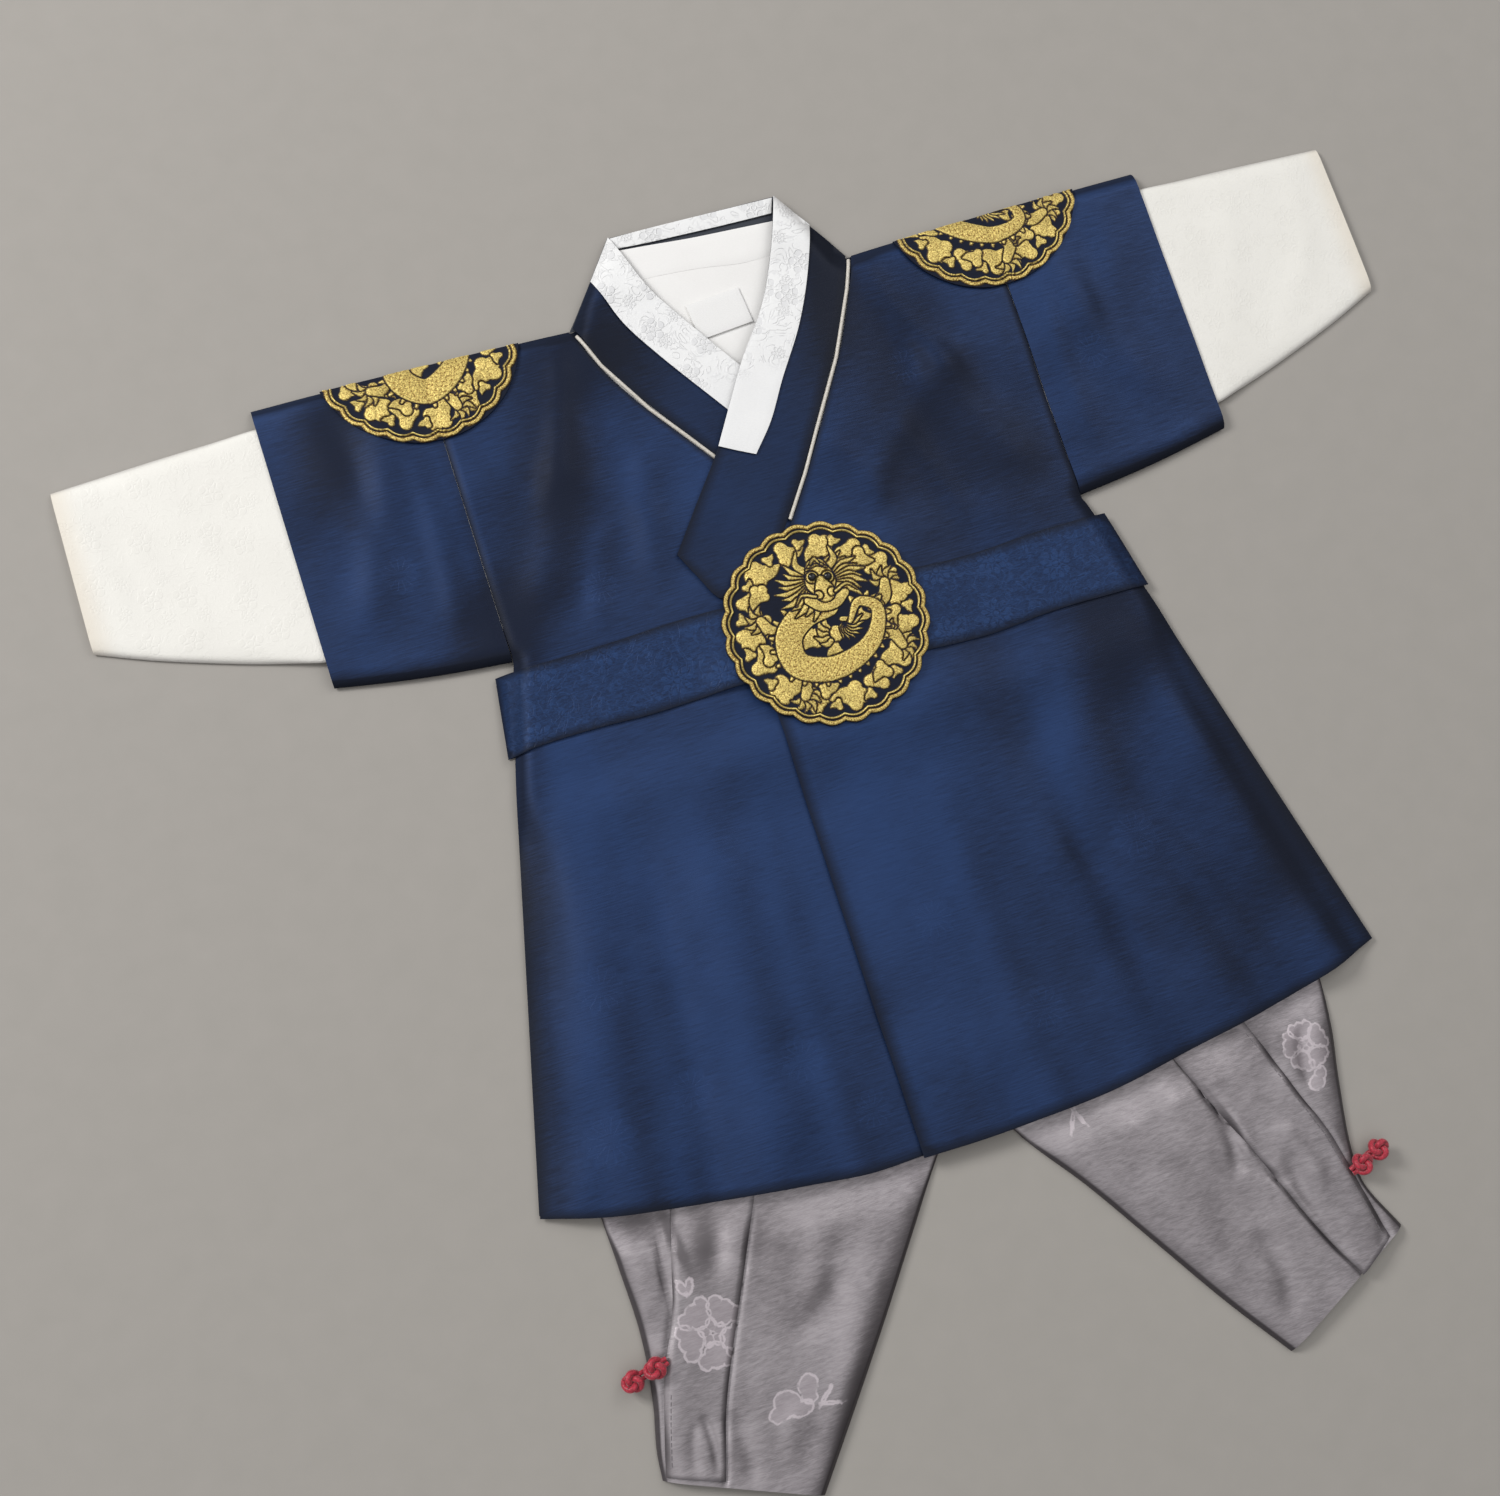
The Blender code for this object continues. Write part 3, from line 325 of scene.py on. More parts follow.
def refine(grid, step):
    g = np.array(grid, float)
    for axis in (0, 1):
        gaps = np.hypot(*np.diff(g, axis=axis).transpose(2, 0, 1)).mean(axis=1 - axis)
        run = np.concatenate([[0.0], np.cumsum(gaps)])
        turned = g if axis == 0 else g.transpose(1, 0, 2)
        g = hermite(run, turned, np.linspace(0.0, run[-1], max(int(run[-1] / step), 3)))
    return g.transpose(1, 0, 2)


def rounded(rows, columns):
    i, j = np.meshgrid(np.arange(rows), np.arange(columns), indexing="ij")
    near = np.minimum(np.minimum(i, rows - 1 - i), np.minimum(j, columns - 1 - j))
    return np.where(near == 0, 1.0, np.where(near == 1, 0.12, 0.0))


def gridRim(rows, columns):
    last = (rows - 1) * columns
    rim = list(range(columns)) + [i * columns + columns - 1 for i in range(1, rows)]
    rim += [last + j for j in range(columns - 2, -1, -1)]
    return rim + [i * columns for i in range(rows - 2, 0, -1)]


def rimFaces(rim, count):
    ahead = rim[1:] + rim[:1]
    return [(a, b, count + b, count + a) for a, b in zip(rim, ahead)]


def shell(spec, grid, low, wall, step=4.0, thickness=0.6, extra=None):
    fine = refine(grid, step)
    rows, columns = fine.shape[:2]
    inset = fine.copy()  # a tight row beside each edge keeps the turned edge small
    inset[1], inset[-2] = mix(fine[0], fine[1], 0.2), mix(fine[-1], fine[-2], 0.2)
    inset[:, 1], inset[:, -2] = mix(inset[:, 0], inset[:, 1], 0.2), mix(inset[:, -1], inset[:, -2], 0.2)
    x, y = inset[..., 0], inset[..., 1]
    top = low(x, y) + wall
    if extra is not None:
        top = top + extra(x, y)
    edge = rounded(rows, columns)
    upper = np.stack([x, y, top - 0.16 * thickness * edge], -1).reshape(-1, 3)
    under = np.stack([x, y, top - thickness + 0.25 * thickness * edge], -1).reshape(-1, 3)
    count = rows * columns
    faces = gridFaces(rows, columns) + gridFaces(rows, columns, count, True)
    faces += rimFaces(gridRim(rows, columns), count)
    # the rim mark flags the two outermost rows; the satin, belt and grey paints darken them as painted
    # shade
    rim = np.tile(np.where(edge > 0.0, 1.0, 0.0).ravel(), 2)
    points = np.concatenate([upper, under])
    return makeMesh(spec["name"], points, faces, spec["material"], spec["node"], {"rim": rim})


def tube(spec, stations, low, high, wall, step=4.0, thickness=0.6, extra=None):
    pairs = refine([[a, b] for a, b in stations], step)
    start, end = pairs[:, 0], pairs[:, -1]
    rows = len(pairs)
    widest = np.hypot(*(end - start).T).max()
    inner = np.linspace(0.0, 1.0, int(widest / step))
    inner = 0.5 - 0.5 * np.cos(math.pi * inner) * (1.0 - 0.45 * np.sin(math.pi * inner) ** 2)
    share = np.clip(inner, 0.0, 1.0)
    layers = []
    for inside in (False, True):
        inset = thickness if inside else 0.0
        width = np.hypot(*(end - start).T)[:, None]
        t = (inset + (width - 2 * inset) * share[None, :]) / width
        x = mix(start[:, :1], end[:, :1], t)
        y = mix(start[:, 1:], end[:, 1:], t)
        near = np.minimum(t, 1.0 - t) * width
        closed = np.sqrt(np.clip(near / 2.2, 0.0, 1.0))  # the fold closes in a round
        roof = high(x, y) + wall + (extra(x, y) if extra is not None else 0.0)
        ground = low(x, y)
        middle = mix(ground, roof, 0.42)
        upper = mix(middle, roof - inset, closed)
        under = mix(middle, ground + inset, closed)
        back = np.stack([x, y, under], -1)[:, -2:0:-1]
        layers.append(np.concatenate([np.stack([x, y, upper], -1), back], axis=1))
    columns = layers[0].shape[1]
    count = rows * columns
    faces = gridFaces(rows, columns, 0, False, True) + gridFaces(rows, columns, count, True, True)
    for j in range(columns):
        k = (j + 1) % columns
        faces.append((j, k, count + k, count + j))
        a, b = (rows - 1) * columns + j, (rows - 1) * columns + k
        faces.append((b, a, count + a, count + b))
    points = np.concatenate([layer.reshape(-1, 3) for layer in layers])
    return makeMesh(spec["name"], points, faces, spec["material"], spec["node"])


def cordMesh(path, radius, sides=8, closed=False):
    p = np.array(path, float)
    ahead = np.roll(p, -1, 0) - np.roll(p, 1, 0) if closed else np.gradient(p, axis=0)
    ahead = ahead / np.linalg.norm(ahead, axis=1)[:, None]
    normal = np.cross(ahead[0], [0.3, 0.2, 1.0])
    normal /= np.linalg.norm(normal)
    rings = []
    radii = np.broadcast_to(radius, len(p))
    for i in range(len(p)):
        normal = normal - ahead[i] * np.dot(normal, ahead[i])
        normal /= np.linalg.norm(normal)
        other = np.cross(ahead[i], normal)
        turn = np.arange(sides) * 2 * math.pi / sides
        rings.append(p[i] + radii[i] * (np.cos(turn)[:, None] * normal + np.sin(turn)[:, None] * other))
    points = np.concatenate(rings)
    faces = gridFaces(len(p), sides, 0, False, True)
    if closed:
        a = (len(p) - 1) * sides
        faces += [(a + j, j, (j + 1) % sides, a + (j + 1) % sides) for j in range(sides)]
    else:
        faces += [tuple(range(sides)), tuple(range(len(p) * sides - 1, (len(p) - 1) * sides - 1, -1))]
    return points, faces


def joined(parts):
    points, faces, start = [], [], 0
    for p, f in parts:
        points.append(p)
        faces += [tuple(i + start for i in face) for face in f]
        start += len(p)
    return np.concatenate(points), faces


# Shader maths

class Value:
    def __init__(self, paint, socket):
        self.paint = paint
        self.socket = socket

    def math(self, operation, *others):
        node = self.paint.tree.nodes.new("ShaderNodeMath")
        node.operation = operation
        for i, other in enumerate((self, *others)):
            self.paint.feed(node.inputs[i], other)
        return Value(self.paint, node.outputs[0])

    def __add__(self, other):
        return self.math("ADD", other)

    def __radd__(self, other):
        return self.math("ADD", other)

    def __sub__(self, other):
        return self.math("SUBTRACT", other)

    def __rsub__(self, other):
        return self.math("MULTIPLY", -1.0).math("ADD", other)

    def __mul__(self, other):
        return self.math("MULTIPLY", other)

    def __rmul__(self, other):
        return self.math("MULTIPLY", other)

    def __truediv__(self, other):
        return self.math("DIVIDE", other)

    def step(self, low, high):
        node = self.paint.tree.nodes.new("ShaderNodeMapRange")
        node.interpolation_type = "SMOOTHSTEP"
        self.paint.feed(node.inputs[0], self)
        node.inputs[1].default_value = low
        node.inputs[2].default_value = high
        return Value(self.paint, node.outputs[0])


class Paint:
    def __init__(self, name):
        self.material = bpy.data.materials.new(name)
        self.material.use_nodes = True
        self.tree = self.material.node_tree
        self.shader = self.tree.nodes["Principled BSDF"]

    def feed(self, socket, value):
        if isinstance(value, Value):
            self.tree.links.new(value.socket, socket)
        elif isinstance(value, tuple) and len(value) == 3 and socket.type == "RGBA":
            socket.default_value = (*value, 1.0)
        else:
            socket.default_value = value

    def node(self, kind, settings=None, output=0, **inputs):
        node = self.tree.nodes.new(kind)
        for key, value in (settings or {}).items():
            setattr(node, key, value)
        for key, value in inputs.items():
            self.feed(node.inputs[key.replace("_", " ")], value)
        return Value(self, node.outputs[output])

    def plan(self):
        return self.node("ShaderNodeUVMap", {"uv_map": "UVMap"})

    def move(self, vector, shift=(0, 0, 0), turn=0.0, scale=(1, 1, 1)):
        return self.node("ShaderNodeMapping", {"vector_type": "POINT"}, Vector=vector, Location=shift,
                         Rotation=(0, 0, turn), Scale=scale)

    def split(self, vector):
        node = self.tree.nodes.new("ShaderNodeSeparateXYZ")
        self.feed(node.inputs[0], vector)
        return Value(self, node.outputs[0]), Value(self, node.outputs[1])

    def noise(self, vector, scale, detail=3.0, rough=0.55, warp=0.0):
        return self.node("ShaderNodeTexNoise", Vector=vector, Scale=scale, Detail=detail, Roughness=rough,
                         Distortion=warp)

    # how far the surface leans from flat, 0 to 1, and its lean towards the window; the paints use the first
    # for painted shade and the second for painted light
    def tilt(self, steep):
        node = self.tree.nodes.new("ShaderNodeSeparateXYZ")
        self.feed(node.inputs[0], self.node("ShaderNodeNewGeometry", output=1))
        x, y, z = (Value(self, node.outputs[i]) for i in range(3))
        return (1.0 - z).step(0.0, steep), y * 0.6 - x * 0.5

    def mark(self, name):
        return self.node("ShaderNodeAttribute", {"attribute_name": name}, 2)

    def blend(self, factor, a, b):
        node = self.tree.nodes.new("ShaderNodeMix")
        node.data_type = "RGBA"
        self.feed(node.inputs[0], factor)
        self.feed(node.inputs[6], a)
        self.feed(node.inputs[7], b)
        return Value(self, node.outputs[2])

    def bump(self, height, distance, strength=1.0, normal=None):
        extra = {"Normal": normal} if normal is not None else {}
        return self.node("ShaderNodeBump", Height=height, Distance=distance, Strength=strength, **extra)

    # lines and fill of many-petalled flowers at given places in metres
    def blossoms(self, places, petals):
        x, y = self.split(self.plan())
        lines, fill = None, None
        for k, (cx, cy, size) in enumerate(places):
            dx, dy = x - cx, y - cy
            angle = dy.math("ARCTAN2", dx) + 0.7 * k
            away = (dx * dx + dy * dy).math("SQRT") / size
            petal = (angle * petals * 0.5).math("SINE").math("ABSOLUTE")
            inside = (away - petal * 0.25).step(0.80, 0.72)
            spoke = petal.step(0.42, 0.18) * away.step(0.18, 0.34)
            drawn = inside * spoke
            lines = drawn if lines is None else lines.math("MAXIMUM", drawn)
            fill = inside if fill is None else fill.math("MAXIMUM", inside)
        return lines, fill

    # lines and fill of shapes, each the union of ovals: centre, radii and turn, in metres
    def outlines(self, groups, thick):
        x, y = self.split(self.plan())
        waver = (self.noise(self.plan(), 330.0, 2.0) - 0.5) * 0.0022
        lines, fill = None, None
        for ovals in groups:
            field = None
            for cx, cy, rx, ry, turn in ovals:
                c, s = math.cos(turn), math.sin(turn)
                dx, dy = x - cx, y - cy
                u, v = (dx * c + dy * s) / rx, (dy * c - dx * s) / ry
                one = ((u * u + v * v).math("SQRT") - 1.0) * min(rx, ry) + waver
                field = one if field is None else field.math("MINIMUM", one)
            line, inside = field.math("ABSOLUTE").step(thick, thick * 0.3), field.step(0.0, -thick)
            lines = line if lines is None else lines.math("MAXIMUM", line)
            fill = inside if fill is None else fill.math("MAXIMUM", inside)
        return lines, fill

    def finish(self, **sockets):
        for key, value in sockets.items():
            self.feed(self.shader.inputs[key.replace("_", " ")], value)
        return self.material


# mask of many-petalled flowers scattered on a jittered lattice
def bloom(paint, plan, cell, size, petals, seed):
    moved = paint.move(plan, (seed, seed * 0.7, 0.0), 0.35, (1 / cell,) * 3)
    cellNode = paint.tree.nodes.new("ShaderNodeTexVoronoi")
    cellNode.feature = "F1"
    cellNode.voronoi_dimensions = "2D"
    cellNode.inputs["Scale"].default_value = 1.0
    cellNode.inputs["Randomness"].default_value = 0.55
    paint.feed(cellNode.inputs["Vector"], moved)
    offset = paint.node("ShaderNodeVectorMath", {"operation": "SUBTRACT"}, 0)
    paint.feed(offset.socket.node.inputs[0], moved)
    paint.feed(offset.socket.node.inputs[1], Value(paint, cellNode.outputs["Position"]))
    dx, dy = paint.split(offset)
    angle = dy.math("ARCTAN2", dx)
    away = (dx * dx + dy * dy).math("SQRT")
    petal = (angle * petals * 0.5).math("SINE").math("ABSOLUTE")
    reach = size * (0.62 + petal * 0.38)
    outer = (away - reach).step(0.012, -0.012)
    line = (petal.math("POWER", 0.6) * away * 9.0 - 0.9).math("ABSOLUTE").step(0.10, 0.34)
    heart = (away - size * 0.22).math("ABSOLUTE").step(0.0, 0.02)
    return outer * line * heart


# Heights of the other layers

def beltLevel(x, y):
    over = smooth((x + 76.0) / 27.0)
    height = mix(levelRight(x, y), levelLeft(x, y), over) + cloth + 0.45
    beyond = np.abs(x) - sideX(y)
    full = base(0.0, -200.0) + 1.5 + cloth + 0.45
    drop = mix(full, thin + 0.3, np.clip((beyond - 0.3) / 9.0, 0.0, 1.0) ** 1.3)
    return np.where(beyond > 0.0, np.minimum(drop, height), height)


def chestLow(x, y):
    near = smooth((y + 252.0) / 22.0) * smooth((-146.0 - y) / 22.0)
    return levelLeft(x, y) + cloth + 0.5 + 1.45 * near


def shirtLow(x, y):
    return (base(x, y) + cloth + 0.6) * (1.0 - smooth((np.abs(x) - 257.0) / 24.0))


cuffFolds = [(268, -118, 300, -30, 9, 0.5, 3), (330, -100, 346, -24, 8, 0.45, -3),
             (-276, -122, -318, -26, 10, 0.5, 4), (-344, -96, -356, -30, 7, 0.4, 2),
             (296, -118, 340, -62, 7, 0.35, 2), (-300, -116, -330, -60, 8, 0.35, -2)]


def shirtLevel(x, y):
    ax = np.abs(x)
    inside = 1.0 - smooth((ax - 258.0) / 34.0)
    edge = np.minimum(readLine(shirtSleeveTop, ax) - y, y - readLine(shirtSleeveLow, ax))
    share = rise(edge / 10.0)
    hidden = base(x, y) + cloth + 0.6 + thin + 0.3 + 0.3 * share
    puff = 1.4 + 0.5 * np.sin(ax * 0.045) * np.cos(y * 0.04) + folds(cuffFolds, x, y)
    shown = thin + 0.5 + puff * share
    return mix(shown, hidden, inside)


legFolds = [
    (-158, -504, -150, -452, 7, -1.3, 2), (-137, -506, -122, -474, 9, -1.0, -2),
    (-136, -542, -102, -522, 8, -0.8, 3), (-186, -510, -178, -456, 2.2, -1.1, 1),
    (-174, -500, -168, -452, 5, 0.3, 2), (-196, -480, -206, -560, 6, 0.6, 2),
    (-186, -592, -184, -566, 2.6, -0.7, 1), (-172, -604, -169, -572, 5, -0.8, 2),
    (-196, -588, -191, -566, 3, -0.4, -1), (-60, -490, -128, -606, 10, 0.7, 5),
    (-84, -470, -110, -520, 9, 0.6, 3), (-150, -602, -140, -576, 6, 0.5, -2),
    (109, -478, 121, -526, 5, -1.0, -5), (121, -526, 138, -546, 4, -0.6, 2),
    (112, -474, 127, -520, 4, 0.6, -2), (146, -528, 157, -586, 5, -0.9, 3),
    (160, -560, 150, -526, 5, 0.7, 2), (120, -616, 121, -576, 6, -0.8, 3),
    (160, -498, 148, -452, 3, -0.9, 2), (156, -490, 166, -520, 3, 0.6, 2),
    (52, -468, 92, -560, 9, 0.7, -5), (182, -470, 172, -500, 4, -0.9, 2),
    (92, -462, 104, -520, 7, 0.5, 3), (176, -600, 184, -576, 4, -0.6, 2),
]


def trouserLevel(x, y):
    puff = smooth((readLine(hemLine, np.minimum(np.abs(x), hemX)) - 3.0 - y) / 20.0)
    edge = np.full(np.shape(x), 20.0)
    for legs, side in ((legLeft, x > 0.0), (legRight, x <= 0.0)):
        inner, outer = [a for a, b in legs], [b for a, b in legs]
        near = np.minimum(lineDistance(inner, x, y), lineDistance(outer, x, y))
        edge = np.where(side & (np.asarray(y) < -440.0), near, edge)
    share = rise(edge / 13.0)
    shape = 0.35 + (3.4 + 0.2 * ripple(x, y, 34.0, 9)) * puff + 1.9 * folds(legFolds, x, y) * puff
    for edges in (flapRight, flapLeft):  # the sewn flap draws the leg in along its edges
        for line, wide in (([a for a, b in edges], 1.7), ([b for a, b in edges], 1.5)):
            shape = shape - 1.2 * np.exp(-((lineDistance(line, x, y) / wide) ** 2)) * puff
    return thin + 0.3 + np.maximum(shape, 0.2) * share


def flat(x, y):
    return np.zeros(np.shape(x))


# Grids of the cut

def between(p, q, t):
    return (mix(p[0], q[0], t), mix(p[1], q[1], t))


def spread(p, q, count):
    return [between(p, q, i / (count - 1)) for i in range(count)]


def along(points, share):
    return tuple(resample(points, 1001)[int(round(share * 1000))])


def hemAt(x):
    return float(readLine(hemLine, min(abs(x), hemX)))


def sideColumns(start, edge, count, run):
    reach = abs(edge[0] - start[0])
    marks = [(reach - run) / reach * i / (count - 1) for i in range(count)]
    return [between(start, edge, t) for t in marks + [(reach - 0.31 * run) / reach, 1.0]]


def skirtRow(share, startX, side, count):
    endX = side * mix(waistX, hemX, share)
    run = float(sideRun(mix(waistY, hemY, share)))
    row = sideColumns((startX, 0.0), (endX, 0.0), count, run)
    return [(x, waistY + share * (hemAt(x / mix(waistX, hemX, share) * hemX) - waistY)) for x, _ in row]


skirtShares = [0.0, 0.12, 0.25, 0.42, 0.6, 0.8, 1.0]


def backRows():
    rows = []
    for drop in (0.0, 12.0, 30.0, 55.0, 85.0, 115.0, 142.0, float(shoulderY(armholeX)) - underarmY + 0.25):
        half = []
        for x in (0.0, 40.0, 75.0, 100.0, 125.0, 150.0, armholeX - 0.15):
            start = float(shoulderY(x)) if x > 80.0 else float(readLine(neckline, x))
            half.append((x, mix(start - drop, float(shoulderY(x)) - drop, float(smooth(drop / 30.0)))))
        rows.append([(-x, y) for x, y in reversed(half[1:])] + half)
    for y in (-175.0, -200.0, waistY):
        half = sideColumns((0.0, y), (float(sideX(y)), y), 5, 30.0)
        rows.append([(-x, y) for x, y in reversed(half[1:])] + half)
    for share in skirtShares[1:]:
        half = [(x, y + 1.5 * share) for x, y in skirtRow(share, 0.0, 1.0, 5)]
        rows.append([(-x, y) for x, y in reversed(half[1:])] + half)
    return rows


def frontRows(seam, side, freeX, end):
    rows = []
    for drop in (0.0, 4.0, 10.0, 28.0, 50.0, 75.0, 100.0, 125.0, 150.0):
        start = float(readLine(seam, -drop, 1)) + side * 1.7
        edge = (side * (armholeX - 0.15), float(shoulderY(armholeX)) - drop)
        rows.append(sideColumns((start, -drop), edge, 8, 10.0))
    corner = (side * (armholeX - 0.15), underarmY - 0.25)
    rows.append(sideColumns((float(readLine(seam, -157.5, 1)) + side * 1.7, -159.5), corner, 8, 10.0))
    for y in end:
        rows.append(sideColumns((freeX(y), y), (side * float(sideX(y - 3.0)), y - 3.0), 8, 10.0))
    for share in skirtShares:
        rows.append(skirtRow(share, freeX(mix(waistY, hemY, share)), side, 8))
    return rows


def foldRows(rows):
    extra = [[between(a, b, t) for a, b in zip(rows[0], rows[1])] for t in (0.22, 0.48)]
    return [rows[0]] + extra + rows[1:]


def collarRowsLeft():
    outer = [along(seamLeft, t) for t in (0.0, 0.12, 0.3, 0.47, 0.59, 0.71, 0.85, 1.0)]
    rows = []
    for i, (a, b) in enumerate(zip(outer, innerLeft)):
        if i:
            a = between(a, b, 1.35 / math.dist(a, b))
        rows.append(spread(a, b, 5))
    rows[0] = spread((80.6, 0.9), innerLeft[0], 5)
    rows[-1] = [(-17.6, -160.6), (-31.0, -164.0), (-46.9, -166.8), (-55.5, -151.0), (-62.2, -136.6)]
    return foldRows(rows)


def collarRowsRight():
    outer = [along(seamRight, t) for t in (0.0, 0.13, 0.28, 0.42, 0.55, 0.72, 0.86)]
    rows = []
    for i, (a, b) in enumerate(zip(outer, innerRight)):
        if i:
            a = between(a, b, 1.35 / math.dist(a, b))
        rows.append(spread(a, b, 5))
    rows[0] = spread((-76.9, 1.6), innerRight[0], 5)
    return foldRows(rows)


def planArea(grid, step=4.0):
    g = refine(grid, step)
    a, b, c, d = g[:-1, :-1], g[1:, :-1], g[1:, 1:], g[:-1, 1:]
    p, q = c - a, d - b
    return float(np.abs(p[..., 0] * q[..., 1] - p[..., 1] * q[..., 0]).sum()) * 0.5e-6


# Cloths

def navyPaint(name, depth=1.0):
    p = Paint(name)
    plan = p.plan()
    slub = p.noise(p.move(plan, scale=(75, 1300, 1)), 1.0, 3.0, 0.62)
    thread = p.noise(p.move(plan, scale=(400, 5200, 1)), 1.0, 2.0)
    across = p.noise(p.move(plan, scale=(2600, 300, 1)), 1.0, 2.0)
    sheen = p.noise(p.move(plan, scale=(15, 3.5, 1)), 1.0, 2.0, 0.5, 0.6)
    cloud = p.noise(plan, 8.0, 2.0)
    lines, fill = p.blossoms(chrysanths, 13)
    scatter = bloom(p, plan, 0.082, 0.15, 16, 3.0) * (p.noise(plan, 6.0, 1.0) * 2.4 - 1.0).step(0.0, 0.8)
    figure = (lines + fill * 0.35 + scatter * 0.5).math("MINIMUM", 1.0) * across.step(0.2, 0.55)
    steep, lean = p.tilt(0.085)
    # painted light: lean lightens the satin where it leans towards the window lamp, the sheen noise paints
    # soft sheen bands and the shade mark adds painted shade and light
    tone = (slub - 0.5) * 0.75 + (thread - 0.5) * 0.4 + (sheen - 0.5) * 0.6 + (cloud - 0.5) * 0.40
    tone = tone + figure * 0.16 + lean * 1.3 + 0.50 + p.mark("shade") * 1.25
    dark, light = (0.0024, 0.0072, 0.025), (0.0170, 0.046, 0.142)
    colour = p.blend(tone.step(0.0, 1.0), tuple(c * depth for c in dark), tuple(c * depth for c in light))
    # painted shade: steep slopes and the edge rows (rim mark) darken towards near black
    colour = p.blend((steep * 0.82).math("MAXIMUM", p.mark("rim") * 0.85), colour, (0.0016, 0.0036, 0.011))
    rough = 0.46 - figure * 0.07 - (slub - 0.5) * 0.16 + steep * 0.42
    height = slub * 0.5 + thread * 0.3 + across * 0.2 + figure * 0.4
    normal = p.bump(height, 0.00022, 0.6)
    metal = (0.32 + (sheen - 0.5) * 0.3) * (1.0 - steep)
    return p.finish(Base_Color=colour, Roughness=rough, Normal=normal, Metallic=metal,
                    Specular_IOR_Level=0.30)


chrysanths = [(-0.1698, -0.3436, 0.014), (-0.0822, -0.4096, 0.013), (-0.1412, -0.4064, 0.012),
              (-0.1878, -0.4176, 0.015), (-0.0555, -0.4452, 0.011), (0.0066, -0.3617, 0.012),
              (0.0472, -0.4243, 0.013), (-0.1062, -0.1413, 0.011), (0.1250, -0.3520, 0.014),
              (-0.2050, -0.1050, 0.011), (0.1950, -0.0900, 0.012), (0.0900, -0.0700, 0.011)]


def beltPaint():
    p = Paint("beltBrocade")
    plan = p.plan()
    slub = p.noise(p.move(plan, turn=0.04, scale=(150, 1700, 1)), 1.0, 3.0, 0.6)
    weave = p.noise(p.move(plan, (0.3, 0.1, 0), 0.1, (300, 620, 1)), 1.0, 4.0, 0.72, 1.5)
    flower = bloom(p, plan, 0.036, 0.24, 9, 1.7)
    vine = (p.noise(p.move(plan, (2.0, 0, 0)), 60.0, 2.0, 0.5, 2.2) - 0.5).math("ABSOLUTE").step(0.045, 0.0)
    figure = flower.math("MAXIMUM", vine * 0.8)
    steep, lean = p.tilt(0.09)
    # painted light: lean lightens the belt where it leans towards the window lamp
    tone = (slub - 0.5) * 0.6 + (weave - 0.5) * 1.2 + figure * 0.20 + lean * 0.5 + 0.46
    colour = p.blend(tone.step(0.0, 1.0), (0.0030, 0.0095, 0.036), (0.0165, 0.050, 0.152))
    # painted shade: steep slopes and the edge rows (rim mark) darken towards near black
    colour = p.blend((steep * 0.5).math("MAXIMUM", p.mark("rim") * 0.9), colour, (0.0018, 0.0045, 0.014))
    height = slub * 0.35 + weave * 0.7 + figure * 0.5
    rough = 0.50 - figure * 0.08 + steep * 0.42
    return p.finish(Base_Color=colour, Roughness=rough, Normal=p.bump(height, 0.0003, 0.6),
                    Metallic=0.24 * (1.0 - steep), Specular_IOR_Level=0.28)


def whitePaint(name, lace, light, shade, ends=None):
    p = Paint(name)
    plan = p.plan()
    weave = p.noise(p.move(plan, scale=(700, 2600, 1)), 1.0, 3.0, 0.6)
    cloud = p.noise(plan, 22.0, 3.0)
    drift = p.noise(plan, 120.0, 2.0, 0.5, 1.0)
    flower = bloom(p, plan, 0.026, 0.26, 5, 0.4).math("MAXIMUM", bloom(p, plan, 0.021, 0.20, 7, 5.3) * 0.8)
    vein = p.noise(p.move(plan, (1.0, 4.0, 0)), 95.0, 1.0, 0.5, 2.0)
    leaf = (vein - 0.5).math("ABSOLUTE").step(0.06, 0.0) * drift.step(0.35, 0.6)
    figure = flower.math("MAXIMUM", leaf * 0.75)
    if ends is not None:  # the woven flowers stop short of the band's lower end
        figure = figure * p.split(plan)[1].step(ends - 0.006, ends + 0.006)
    tone = (weave - 0.5) * 0.35 + (cloud - 0.5) * 0.4 - figure * lace * 0.42 + 0.72
    colour = p.blend(tone.step(0.0, 1.0), shade, light)
    steep = p.tilt(0.3)[0]
    worn = p.split(plan)[0].math("ABSOLUTE").step(0.351, 0.368)  # the wrist edges have yellowed
    colour = p.blend(worn * 0.45, colour, (0.70, 0.59, 0.44))
    # painted shade: steep slopes darken towards grey
    colour = p.blend(steep * 0.45, colour, (0.34, 0.32, 0.31))
    height = weave * 0.3 + figure * lace * 1.6
    return p.finish(Base_Color=colour, Roughness=0.50 - figure * 0.2 * lace,
                    Normal=p.bump(height, 0.0004, 0.8),
                    Sheen_Weight=0.15, Specular_IOR_Level=0.45)


